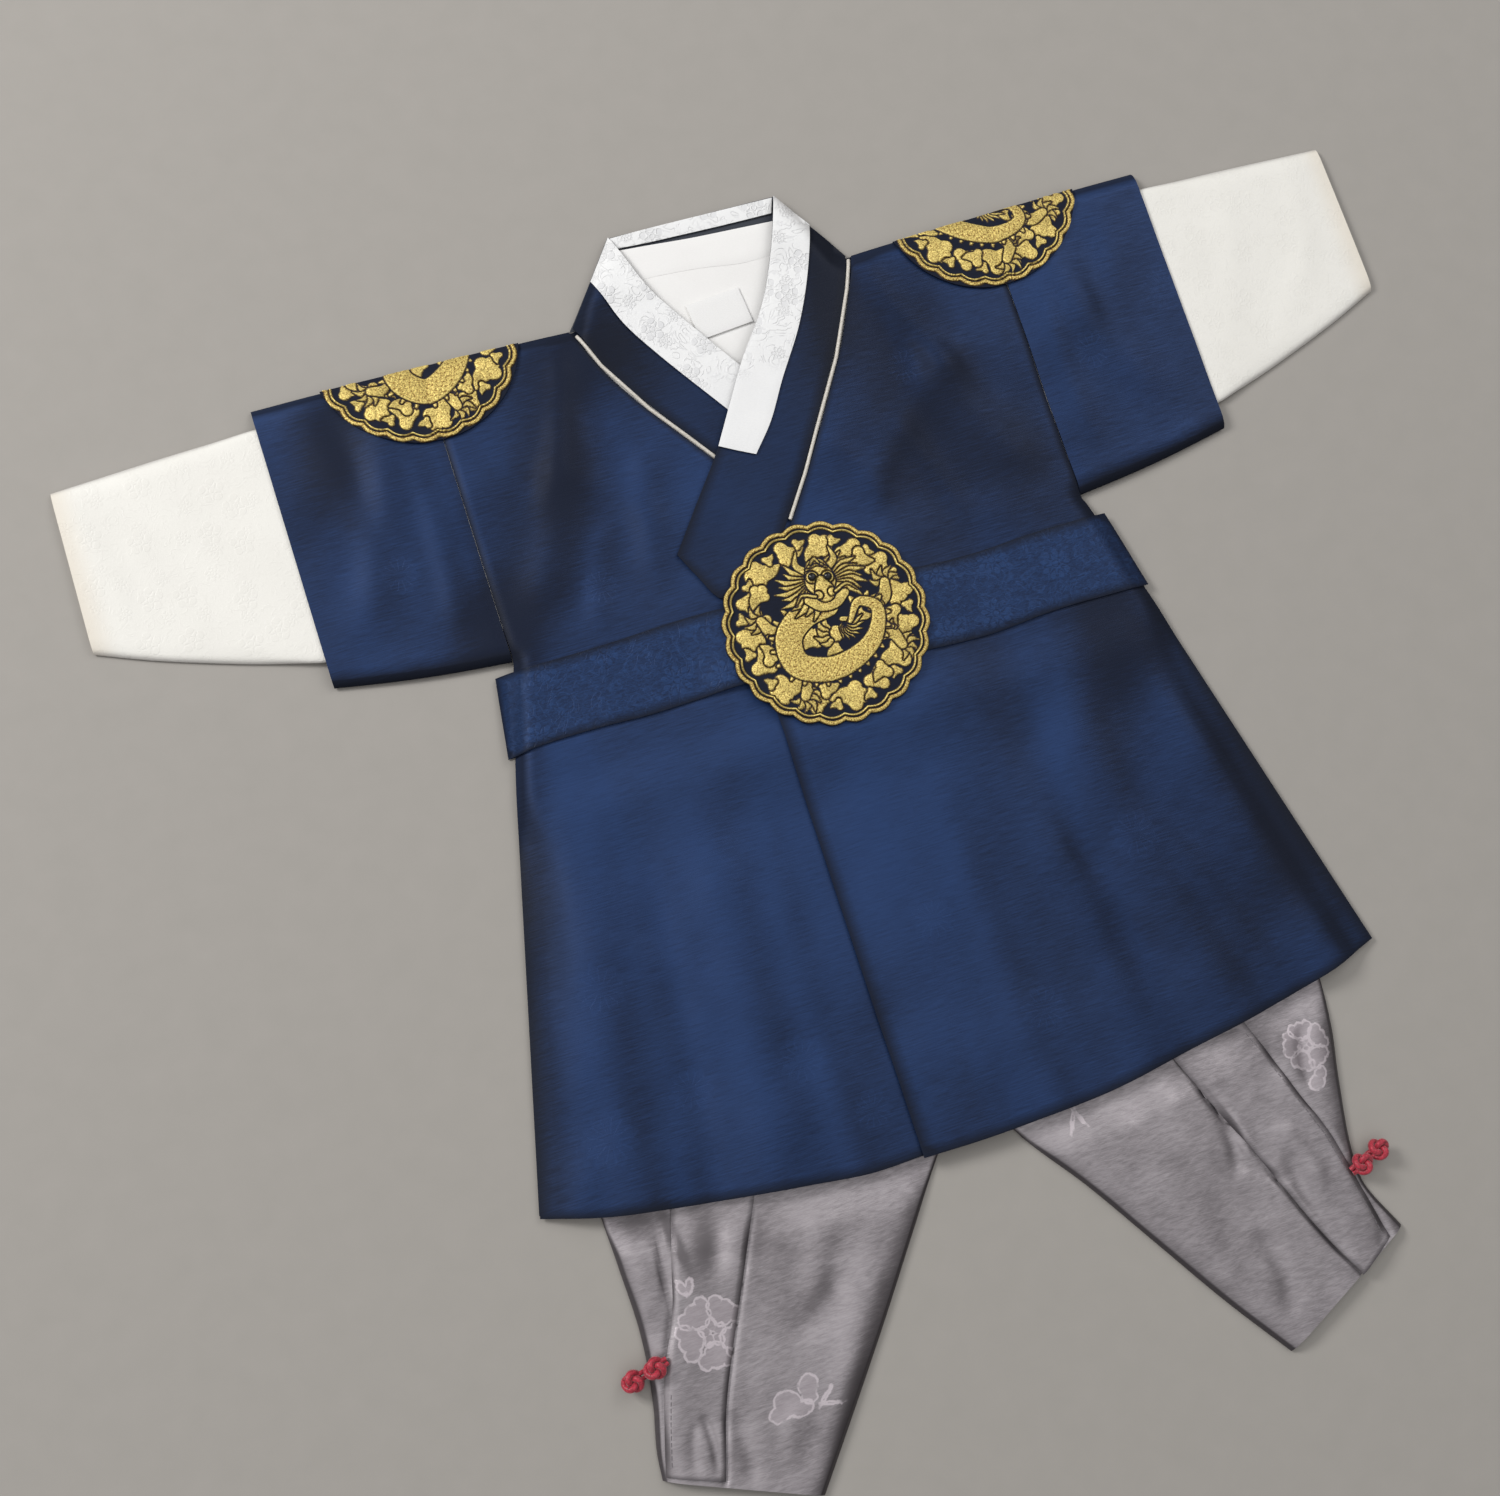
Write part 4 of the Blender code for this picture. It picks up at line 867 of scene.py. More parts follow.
def greyPaint(name, groups):
    p = Paint(name)
    plan = p.plan()
    fine = p.noise(p.move(plan, turn=0.25, scale=(190, 2300, 1)), 1.0, 3.0, 0.65)
    mottle = p.noise(p.move(plan, turn=0.25, scale=(130, 520, 1)), 1.0, 4.0, 0.66, 0.5)
    broad = p.noise(plan, 26.0, 2.0, 0.5, 0.8)
    wobble = p.noise(plan, 160.0, 2.0)
    lines, fill = p.outlines(groups, 0.0008)
    figure = lines * wobble.step(0.22, 0.48)
    steep, lean = p.tilt(0.24)
    # painted light: lean lightens the satin where it leans towards the window lamp; the shade mark adds
    # painted shade and light
    tone = (fine - 0.5) * 0.60 + (mottle - 0.5) * 0.70 + (broad - 0.5) * 0.50 + lean * 1.1 + 0.49
    tone = tone + p.mark("shade") * 1.5
    colour = p.blend(tone.step(0.0, 1.0), (0.150, 0.134, 0.140), (0.45, 0.41, 0.425))
    colour = p.blend(fill * 0.34, colour, (0.52, 0.45, 0.48))
    colour = p.blend(figure * 0.60, colour, (0.72, 0.64, 0.67))
    # painted shade: steep slopes and the edge rows (rim mark) darken towards near black
    colour = p.blend((steep * 0.80).math("MAXIMUM", p.mark("rim") * 0.5), colour, (0.032, 0.027, 0.032))
    rough = 0.38 - (mottle - 0.5) * 0.20
    height = fine * 0.5 + mottle * 0.35 + figure * 0.4
    return p.finish(Base_Color=colour, Roughness=rough, Metallic=0.55 + (mottle - 0.5) * 0.4,
                    Normal=p.bump(height, 0.00028, 0.6), Specular_IOR_Level=0.5)


def petalRing(cx, cy, size, count, turn):
    turns = [turn + k * 6.283 / count for k in range(count)]
    return [(cx + size * 0.6 * math.cos(a), cy + size * 0.6 * math.sin(a), size * 0.46, size * 0.40, a)
            for a in turns]


def petals(cx, cy, away, size, count, turn):
    groups = []
    for k in range(count):
        lobes = [(0.0, 1.0, 1.0), (0.42, 1.28, 0.66), (-0.40, 1.34, 0.60)]
        spin = turn + k * 6.283 / count + 0.15 * math.sin(3.0 * k)
        groups.append([(cx + away * far * math.cos(spin + a), cy + away * far * math.sin(spin + a),
                        size * wide, size * wide * 0.86, spin) for a, far, wide in lobes])
    return groups


flapMotifs = petals(-0.1680, -0.5240, 0.0110, 0.0066, 5, 0.75)
flapMotifs += [petalRing(-0.1678, -0.5242, 0.0068, 5, 0.2),
               [(-0.1758, -0.4985, 0.0020, 0.0042, 0.45), (-0.1722, -0.4990, 0.0020, 0.0036, -0.5)]]
legMotifs = petals(0.1765, -0.4860, 0.0078, 0.0048, 5, 0.3)
legMotifs += [[(-0.1425, -0.5690, 0.0070, 0.0062, -0.35), (-0.1475, -0.5725, 0.0058, 0.0040, 0.2),
               (-0.1365, -0.5735, 0.0060, 0.0036, 0.1)],
              [(-0.1300, -0.5640, 0.0056, 0.0048, 0.9), (-0.1310, -0.5690, 0.0040, 0.0036, 0.0)],
              [(-0.1235, -0.5720, 0.0038, 0.0007, 0.75)], [(-0.1220, -0.5755, 0.0042, 0.0007, -0.25)],
              petalRing(0.1765, -0.4850, 0.0040, 5, 0.9),
              [(0.1753, -0.5058, 0.0046, 0.0034, 0.4), (0.1790, -0.5015, 0.0036, 0.0030, 1.2)],
              [(0.0440, -0.4830, 0.0045, 0.0007, 1.1)], [(0.0475, -0.4825, 0.0034, 0.0007, 2.0)]]


def goldPaint():
    p = Paint("goldStitch")
    plan = p.plan()
    gold, tone, turn = p.mark("gold"), p.mark("tone"), p.mark("turn")
    x, y = p.split(plan)
    c, s = turn.math("COSINE"), turn.math("SINE")
    run = (x * c + y * s) * 420.0
    side = (y * c - x * s) * 1300.0
    lay = p.node("ShaderNodeCombineXYZ", X=run, Y=side)
    thread = p.noise(lay, 1.0, 2.0, 0.6)
    speck = p.noise(plan, 1150.0, 3.0, 0.8)
    ground = p.noise(p.move(plan, scale=(260, 1500, 1)), 1.0, 2.0)
    shine = ((thread - 0.5) * 1.3 + (speck - 0.5) * 2.9 + tone + 0.02).step(0.0, 1.0)
    metal = p.blend(shine, (0.20, 0.080, 0.010), (1.0, 0.80, 0.26))
    under = p.blend(ground, (0.0015, 0.003, 0.009), (0.006, 0.010, 0.028))
    colour = p.blend(gold, under, metal)
    height = gold * (thread * 0.9 + speck * 0.7) + ground * 0.2
    return p.finish(Base_Color=colour, Roughness=0.75 - gold * 0.33, Metallic=gold * 0.45,
                    Normal=p.bump(height, 0.00045, 0.85), Specular_IOR_Level=0.25)


def cordPaint(name, dark, light, scale=1300.0):
    p = Paint(name)
    strand = p.node("ShaderNodeTexNoise", Vector=p.node("ShaderNodeTexCoord", output=3), Scale=scale,
                    Detail=3.0)
    colour = p.blend((strand - 0.25) * 1.6, dark, light)
    return p.finish(Base_Color=colour, Roughness=0.45, Normal=p.bump(strand, 0.0002, 0.8), Sheen_Weight=0.3)


def plainPaint(name, dark, light, rough=0.6):
    p = Paint(name)
    weave = p.noise(p.move(p.plan(), scale=(1200, 2400, 1)), 1.0, 3.0)
    return p.finish(Base_Color=p.blend(weave, dark, light), Roughness=rough,
                    Normal=p.bump(weave, 0.0002, 0.5))


navyCloth = navyPaint("navyDamask")
collarCloth = navyPaint("navyCollar", 0.62)
beltCloth = beltPaint()
bandCloth = whitePaint("bandJacquard", 0.55, (0.90, 0.895, 0.88), (0.60, 0.60, 0.61), -0.052)
shirtCloth = whitePaint("shirtJacquard", 0.14, (0.86, 0.84, 0.78), (0.68, 0.655, 0.60))
innerCloth = whitePaint("innerWhite", 0.0, (0.90, 0.885, 0.86), (0.72, 0.70, 0.67))
legCloth = greyPaint("greySatinLegs", legMotifs)
flapCloth = greyPaint("greySatinFlaps", flapMotifs)
goldCloth = goldPaint()
pipingCord = cordPaint("pipingIvory", (0.42, 0.38, 0.32), (0.90, 0.86, 0.78))
redCord = cordPaint("knotRed", (0.18, 0.004, 0.012), (0.72, 0.035, 0.075), 900.0)
labelCloth = plainPaint("labelSatin", (0.74, 0.73, 0.71), (0.92, 0.91, 0.89), 0.4)
# the back collar: its own navy cloth, painted darker and greyer than the navy as painted shade
collarShadeCloth = plainPaint("collarBackPaintedShade", (0.012, 0.016, 0.026), (0.035, 0.042, 0.058))
threadGrey = plainPaint("threadGrey", (0.10, 0.09, 0.10), (0.26, 0.24, 0.25))
beadBlack = plainPaint("beadBlack", (0.002, 0.002, 0.003), (0.008, 0.008, 0.010), 0.12)
print("paints made")


def laid(size, area):
    min(area, size[0] * size[1])


# The robe

def leftFree(y):
    return mix(-46.5, -38.0, float(smooth((-168.0 - y) / 70.0)))


def rightFree(y):
    return mix(34.0, 40.0, float(smooth((-180.0 - y) / 40.0)))


def liftRow(row):
    return [(x, y + 1.6 * float(smooth((x + 36.0) / 6.0) * smooth((-440.0 - y) / 30.0))) for x, y in row]


panels = [
    {"name": "robeBack", "node": "robe_back", "material": navyCloth, "rows": backRows(),
     "low": base, "flat": (0.468, 0.480),
     "under": ["roundelShoulderLeftBack", "roundelShoulderRightBack", "beltBack"]},
    {"name": "robeFrontRight", "node": "robe_front_right", "material": navyCloth,
     "rows": [liftRow(r) for r in frontRows(seamRight, -1.0, rightFree, (-172.0, -187.0, -207.0))],
     "low": levelRight, "flat": (0.274, 0.480), "under": ["shirtFrontRight", "robeBack"]},
    {"name": "robeFrontLeft", "node": "robe_front_left", "material": navyCloth,
     "rows": frontRows(seamLeft, 1.0, leftFree, (-169.5, -185.0, -207.0)),
     "low": levelLeft, "flat": (0.272, 0.480), "under": ["robeFrontRight", "shirtFrontLeft"]},
    {"name": "collarLeft", "node": "collar_left", "material": collarCloth,
     "rows": collarRowsLeft(), "low": levelLeft, "flat": (0.062, 0.235),
     "under": ["robeFrontRight", "shirtFrontLeft"]},
    {"name": "collarRight", "node": "collar_right", "material": collarCloth,
     "rows": collarRowsRight(), "low": levelRight, "flat": (0.060, 0.185), "under": ["shirtFrontRight"]},
]
for panel in panels:
    thing = shell(panel, panel["rows"], panel["low"], cloth, 3.0, 0.9)
    laid(panel["flat"], planArea(panel["rows"]))

for side, word, surface in ((1.0, "Left", levelLeft), (-1.0, "Right", levelRight)):
    stations = [((side * x, float(shoulderY(x))), (side * x, float(sleeveLowY(x))))
                for x in (armholeX + 0.15, 178.0, 196.0, 215.0, 235.0, sleeveEndX)]
    node = "robe_sleeve_" + word.lower()
    sleeve = {"name": "robeSleeve" + word, "node": node, "material": navyCloth}
    thing = tube(sleeve, stations, base, surface, cloth, 3.0, 0.9)
    laid((0.345, 0.0925), 0.345 * 0.0925 * 0.96)
print("robe made")


# Collar at the back, neck bands, label

def backCollarRows():
    rows = []
    for share in (0.0, 0.16, 0.34, 0.55, 0.78, 1.0):
        a = between((-79.2, 0.3), (-43.5, 46.0), share)
        b = between((79.2, 0.3), (52.5, 45.0), share)
        fade = (1.0 - share) ** 2
        rows.append([(x, y + fade * float(readLine(neckline, x))) for x, y in spread(a, b, 9)])
    return rows


leftBand = [row[2:] for row in collarRowsLeft()[:8]]
leftBand[7] = [(-4.6, -96.2), (-13.5, -91.5), (-22.8, -86.2)]
rightBand = [row[2:] for row in collarRowsRight()[:8]]
bandStrip = [[(-40.4, 38.6), (-22.0, 37.4), (-4.0, 36.8), (14.0, 36.2), (31.0, 35.8), (48.4, 35.6)],
             [(-42.3, 45.2), (-23.6, 45.3), (-4.6, 45.1), (14.4, 44.8), (33.0, 44.5), (51.6, 44.2)]]
bands = [
    {"name": "collarBack", "node": "collar_back", "material": collarShadeCloth, "rows": backCollarRows(),
     "low": base, "wall": cloth, "flat": (0.160, 0.052), "under": ["neckbandBackOuter"]},
    {"name": "neckbandBackOuter", "node": "neckband_back_outer", "material": bandCloth,
     "rows": [spread((-58.0, 26.0), (62.0, 26.0), 5), spread((-44.5, 44.4), (51.5, 43.8), 5)],
     "low": flat, "wall": thin, "flat": (0.120, 0.019), "under": ["floor"]},
    {"name": "neckbandBack", "node": "neckband_back", "material": bandCloth, "rows": bandStrip,
     "low": raised(base, cloth + 0.3), "wall": thin, "flat": (0.095, 0.0101), "under": ["collarBack"]},
    {"name": "neckbandRight", "node": "neckband_right", "material": bandCloth,
     "rows": rightBand, "low": raised(levelRight, cloth + 0.3), "wall": thin, "flat": (0.033, 0.175),
     "under": ["collarRight"]},
    {"name": "neckbandLeft", "node": "neckband_left", "material": bandCloth,
     "rows": leftBand, "low": raised(levelLeft, cloth + 0.3), "wall": thin, "flat": (0.033, 0.158),
     "under": ["collarLeft"]},
    {"name": "neckLabel", "node": "label_blank", "material": labelCloth,
     "rows": [spread((-14.0, -3.0), (17.0, -0.5), 3), spread((-12.0, -24.0), (19.0, -21.5), 3)],
     "low": raised(base, cloth + 0.6 + thin + 0.2), "wall": thin, "flat": (0.0312, 0.0212),
     "under": ["shirtBack"]},
]
for band in bands:
    thing = shell(band, band["rows"], band["low"], band["wall"], 1.8, 0.6)
    laid(band["flat"], planArea(band["rows"], 2.0))

for word, seam, surface, share in (("left", seamLeft, levelLeft, 0.84),
                                   ("right", seamRight, levelRight, 0.6)):
    line = resample(seam, 400)[8:int(400 * share)]
    path = np.column_stack([line, surface(line[:, 0], line[:, 1]) + 0.95])
    points, faces = cordMesh(path[::2], 1.0, 10)
    makeMesh("piping" + word.title(), points, faces, pipingCord, "piping_" + word)
print("collar made")


# The belt

def beltRows(top, low, edges):
    rows = []
    for share in (0.0, 0.25, 0.5, 0.75, 1.0):
        right = float(sideX(mix(beltTop[0][1], beltLow[0][1], share)))
        left = float(sideX(mix(beltTop[-1][1], beltLow[-1][1], share)))
        farRight, farLeft = mix(173.4, 179.6, share), mix(171.4, 181.0, share)
        marks = [-farRight, -mix(right, farRight, 0.4), -right + 3.1, -right + 10.0]
        marks += [-128.0, -105.0, -76.0, -49.0, -30.0, -10.0, 12.0, 34.0, 52.0, 70.0, 86.0, 102.0, 125.0]
        marks += [left - 10.0, left - 3.1, mix(left, farLeft, 0.4), farLeft]
        rows.append([(x, mix(float(readLine(top, x)), float(readLine(low, x)), share)
                      + 0.5 * math.sin(x * 0.07 + share * 5.0) * edges) for x in marks])
    return rows


def beltWaves(x, y):
    return 0.25 * ripple(x, y * 0.5, 30.0, 5)


beltFront = {"name": "beltFront", "node": "belt_front", "material": beltCloth}
rows = beltRows(beltTop, beltLow, 1.0)
thing = shell(beltFront, rows, beltLevel, thin, 2.5, 0.8, beltWaves)
laid((0.362, 0.0525), planArea(rows))
beltBack = {"name": "beltBack", "node": "belt_back", "material": beltCloth}
rows = [[(-173.2 - 6.2 * t, -172.3 - 42.5 * t), (-60.0, -171.9 - 42.8 * t), (60.0, -179.8 - 45.5 * t),
         (171.2 + 9.6 * t, -179.8 - 44.2 * t)] for t in (0.0, 0.5, 1.0)]
thing = shell(beltBack, rows, flat, thin, 5.0, 0.8)
laid((0.374, 0.0535), planArea(rows))
print("belt made")


# Stitched roundels: a dragon among clouds, drawn as strokes in units of the radius

def strokeInside(points, widths, u, v):
    best = np.full(np.shape(u), -9.0)
    turn, run, off = np.zeros(u.shape), np.zeros(u.shape), np.zeros(u.shape)
    p = bend(points, 9 * len(points))
    w = np.interp(np.linspace(0, 1, len(p)), np.linspace(0, 1, len(widths)), widths)
    reach = max(w) + 0.03
    near = (u > p[:, 0].min() - reach) & (u < p[:, 0].max() + reach)
    near = near & (v > p[:, 1].min() - reach) & (v < p[:, 1].max() + reach)
    a, b = u[near], v[near]
    most = np.full(a.shape, -9.0)
    aim, length, across = np.zeros(a.shape), np.zeros(a.shape), np.zeros(a.shape)
    total = 0.0
    for i in range(len(p) - 1):
        dx, dy = p[i + 1] - p[i]
        size = math.hypot(dx, dy) + 1e-9
        t = np.clip(((a - p[i, 0]) * dx + (b - p[i, 1]) * dy) / size**2, 0.0, 1.0)
        inside = mix(w[i], w[i + 1], t) - np.hypot(a - p[i, 0] - t * dx, b - p[i, 1] - t * dy)
        better = inside > most
        aim = np.where(better, math.atan2(dy, dx), aim)
        length = np.where(better, total + t * size, length)
        across = np.where(better, ((a - p[i, 0]) * dy - (b - p[i, 1]) * dx) / size, across)
        most = np.maximum(inside, most)
        total += size
    best[near], turn[near], run[near], off[near] = most, aim, length, across
    return best, turn, run, off


def cloud(x, y, aim, size, lobes):
    c, s = math.cos(aim), math.sin(aim)

    def at(a, b):
        return (x + (a * c - b * s) * size, y + (a * s + b * c) * size)

    parts = [([at(-1.15, -0.35), at(-0.55, -0.05), at(0.05, 0.0)], [0.10 * size, 0.42 * size, 0.60 * size])]
    for k in range(lobes):
        a = 1.35 - k * 2.5 / max(lobes - 1, 1)
        lobe = at(0.10 + 0.50 * math.cos(a), 0.52 * math.sin(a))
        parts.append(([at(0.0, 0.0), lobe], [0.52 * size, (0.42 + 0.06 * (k % 2)) * size]))
    return parts


def fan(centre, near, far, start, gap, count, widths, lean=0.15, squeeze=1.0):
    strokes = []
    for k in range(count):
        a = start + k * gap
        grow = far * (1.0 if k % 2 else 0.88)
        root = (centre[0] + near * math.cos(a), centre[1] + near * squeeze * math.sin(a))
        tip = (centre[0] + grow * math.cos(a + lean), centre[1] + grow * squeeze * math.sin(a + lean))
        x, y = mix(root[0], tip[0], 0.5), mix(root[1], tip[1], 0.5)
        half = (x - 0.03 * math.sin(a), y + 0.03 * math.cos(a))
        strokes.append([([root, half, tip], widths)])
    return strokes


def dragonShapes():
    shapes = []
    for k in range(15):
        turn = 2.0 * math.pi * (k + 0.25) / 15.0
        away = 0.745 + 0.020 * math.cos(5.0 * k)
        aim = turn + (1.15 if k % 3 else -1.2) + 0.35 * math.sin(2.3 * k)
        size = 0.150 + 0.014 * math.sin(3.0 * k)
        shapes.append(cloud(away * math.cos(turn), away * math.sin(turn), aim, size, 2 + k % 2))
    for k in range(15):  # small puffs between the clouds
        turn = 2.0 * math.pi * (k + 0.80) / 15.0
        shapes.append(cloud(0.805 * math.cos(turn), 0.805 * math.sin(turn), turn + 1.6, 0.066, 2))
    inner = [(-0.55, 0.42, 0.6, 0.115, 3), (0.50, 0.50, 2.4, 0.115, 2), (0.62, -0.10, 1.4, 0.110, 2),
             (-0.60, -0.16, -1.3, 0.115, 2), (0.36, -0.60, 0.4, 0.105, 2), (-0.20, -0.62, 3.0, 0.105, 2),
             (-0.20, -0.12, 0.3, 0.130, 3), (0.33, -0.03, 2.6, 0.095, 2), (-0.58, 0.14, 1.8, 0.100, 2),
             (0.00, -0.28, 0.1, 0.085, 2)]
    shapes += [cloud(*place) for place in inner]
    shapes.append([([(0.05, -0.14), (0.055, -0.13)], [0.075, 0.075])])
    shapes += fan((0.05, -0.13), 0.09, 0.21, 2.2, 0.42, 5, [0.026, 0.026, 0.005], -0.4)
    limbs = [((-0.40, -0.02), (-0.54, 0.06), (-0.60, 0.18), 2.3),
             ((0.42, -0.24), (0.57, -0.28), (0.63, -0.42), -0.9),
             ((-0.20, -0.42), (-0.36, -0.54), (-0.42, -0.63), -2.2),
             ((0.49, 0.04), (0.61, 0.08), (0.66, 0.21), 1.2)]
    for hip, knee, foot, spin in limbs:
        shapes += fan(foot, 0.01, 0.17, spin - 1.15, 0.62, 5, [0.028, 0.026, 0.006], 0.2)
        shapes.append([([hip, knee, foot], [0.082, 0.064, 0.046])])
        shapes += fan(knee, 0.06, 0.15, spin + 1.6, 0.45, 3, [0.018, 0.018, 0.004], 0.5)
    for k in range(8):
        a = -2.7 + k * 0.36
        x, y = 0.22 - 0.010 * k, -0.045 + 0.004 * k
        middle = (x + 0.10 * math.cos(a), y + 0.10 * math.sin(a))
        tip = (x + 0.19 * math.cos(a + 0.5), y + 0.19 * math.sin(a + 0.5))
        shapes.append([([(x, y), middle, tip], [0.026, 0.026, 0.005])])
    body = [(0.06, 0.14), (-0.20, 0.11), (-0.40, -0.06), (-0.40, -0.30), (-0.14, -0.44), (0.18, -0.40),
            (0.42, -0.24), (0.50, 0.02), (0.36, 0.10), (0.22, -0.06)]
    spine = resample(bend(body, 90), 53)
    for k in range(25):  # fins along the back
        a, b = spine[2 * k], spine[2 * k + 1]
        dx, dy = (b - a) / np.hypot(*(b - a))
        size = 0.205 - 0.0050 * k
        tip = (a[0] - dx * 0.03 + dy * size, a[1] - dy * 0.03 - dx * size)
        shapes.append([([(a[0], a[1]), tip], [0.050, 0.016])])
    shapes.append([(body, [0.105, 0.128, 0.130, 0.128, 0.122, 0.108, 0.090, 0.070, 0.050, 0.024])])
    shapes[-1].append("scaly")
    shapes += fan((0.04, 0.36), 0.12, 0.44, 1.90, 0.215, 12, [0.036, 0.036, 0.006], 0.10, 0.78)
    shapes += fan((0.12, 0.36), 0.12, 0.40, 1.30, -0.215, 10, [0.036, 0.036, 0.006], -0.10, 0.78)
    shapes.append([([(-0.02, 0.50), (-0.11, 0.60), (-0.07, 0.73)], [0.038, 0.034, 0.010])])
    shapes.append([([(0.16, 0.49), (0.26, 0.57), (0.25, 0.70)], [0.038, 0.034, 0.010])])
    shapes.append([([(0.07, 0.52), (0.07, 0.40)], [0.105, 0.150])])
    jaw = [(-0.10, 0.24), (0.00, 0.165), (0.15, 0.16), (0.26, 0.22)]
    shapes.append([(jaw, [0.044, 0.060, 0.060, 0.042])])
    for x, y in ((0.0, 0.448), (0.147, 0.414)):
        shapes.append([([(x, y), (x + 0.004, y)], [0.058, 0.058])])
    for k in range(3):
        brow = [(-0.03 + 0.03 * k, 0.53 + 0.025 * k), (0.08, 0.56 + 0.03 * k),
                (0.17 - 0.03 * k, 0.51 + 0.03 * k)]
        shapes.append([(brow, [0.010, 0.016, 0.010])])
    shapes.append([([(0.075, 0.40), (0.080, 0.28)], [0.046, 0.100])])
    for side in (-1.0, 1.0):
        shapes.append([([(0.078 + side * 0.062, 0.262), (0.078 + side * 0.066, 0.27)], [0.038, 0.038])])
        whisker = [(0.078 + side * 0.10, 0.26), (0.078 + side * 0.23, 0.30), (0.078 + side * 0.31, 0.22)]
        shapes.append([(whisker, [0.016, 0.015, 0.006])])
    return shapes


def stitchField(u, v, shapes, lobes):
    away = np.hypot(u, v)
    around = np.arctan2(v, u)
    height, gold, tone, turn = (np.zeros(u.shape) for _ in range(4))
    for shape in shapes:
        scaly = shape[-1] == "scaly"
        inside, heading, run, off = strokeInside(*shape[0], u, v)
        for points, widths in shape[1:-1] if scaly else shape[1:]:
            more, aim, _, _ = strokeInside(points, widths, u, v)
            heading = np.where(more > inside, aim, heading)
            inside = np.maximum(inside, more)
        gap = smooth((inside + 0.014) / 0.008)
        fill = smooth(inside / 0.008)
        dome = np.sqrt(np.clip(inside / 0.05, 0.0, 1.0))
        edge = 1.0 - smooth((inside - 0.010) / 0.012)
        bright = 0.60 + 0.22 * edge
        if scaly:
            scale = np.abs(np.cos(math.pi * (run + off) / 0.066) * np.cos(math.pi * (run - off) / 0.066))
            bright = bright - 0.24 * smooth((0.36 - scale) / 0.36) * (1.0 - edge)
            dome = dome * (1.0 - 0.35 * smooth((0.36 - scale) / 0.36))
        height = height * (1.0 - gap) + fill * (0.40 + 0.60 * dome)
        gold = gold * (1.0 - gap) + fill
        tone = tone * (1.0 - gap) + fill * bright
        turn = np.where(inside > 0.0, heading + 0.9, turn)
    wave = 0.036 * np.abs(np.cos(lobes * around / 2.0))
    for centre, width, bright in ((0.897, 0.013, 0.84), (0.942, 0.024, 0.50)):
        inside = width - np.abs(away - centre - wave)
        gap, fill = smooth((inside + 0.012) / 0.008), smooth(inside / 0.008)
        height = height * (1.0 - gap) + fill * (0.5 + 0.5 * np.sqrt(np.clip(inside / width, 0.0, 1.0)))
        gold = gold * (1.0 - gap) + fill
        tone = tone * (1.0 - gap) + fill * bright
        turn = np.where(inside > 0.0, around + math.pi / 2 + 0.5, turn)
    beyond = smooth((away - 0.884 - wave) / 0.01)
    inRim = beyond * (1.0 - smooth((np.abs(away - 0.925 - wave) - 0.042) / 0.006))
    return height, gold * (1.0 - beyond) + gold * inRim, tone, turn


shapes = dragonShapes()


def roundelMesh(spec, x, y, u, v, low, wall, lift, closeRound):
    height, gold, tone, turn = stitchField(u, v, shapes, 24)
    rows, columns = x.shape
    top = low(x, y) + wall + lift * height
    upper = np.stack([x, y, top], -1).reshape(-1, 3)
    under = np.stack([x, y, low(x, y) + wall - 0.9], -1).reshape(-1, 3)
    count = rows * columns
    faces = gridFaces(rows, columns, 0, False, closeRound)
    faces += gridFaces(rows, columns, count, True, closeRound)
    if closeRound:
        rims = [list(range(columns)), [(rows - 1) * columns + j for j in range(columns - 1, -1, -1)]]
    else:
        rims = [gridRim(rows, columns)]
    for rim in rims:
        faces += rimFaces(rim, count)
    marks = {"gold": gold, "tone": tone, "turn": turn}
    marks = {key: np.tile(values.ravel(), 2) for key, values in marks.items()}
    points = np.concatenate([upper, under])
    return makeMesh(spec["name"], points, faces, goldCloth, spec["node"], marks)


cx, cy = chestCentre
shares = np.concatenate([[0.004], np.linspace(0.012, 1.0, 102)])
around, shares = np.meshgrid(np.linspace(0, 2 * math.pi, 480, endpoint=False), shares)
reach = roundelRadius * (0.968 + 0.036 * np.abs(np.cos(12.0 * around)))
x, y = cx + reach * shares * np.cos(around), cy + reach * shares * np.sin(around)
u, v = (x - cx) / roundelRadius, (y - cy) / roundelRadius
spec = {"name": "roundelChest", "node": "roundel_chest"}
chest = roundelMesh(spec, x, y, u, v, chestLow, 1.0, 1.1, True)
laid((0.112, 0.112), 0.00975)

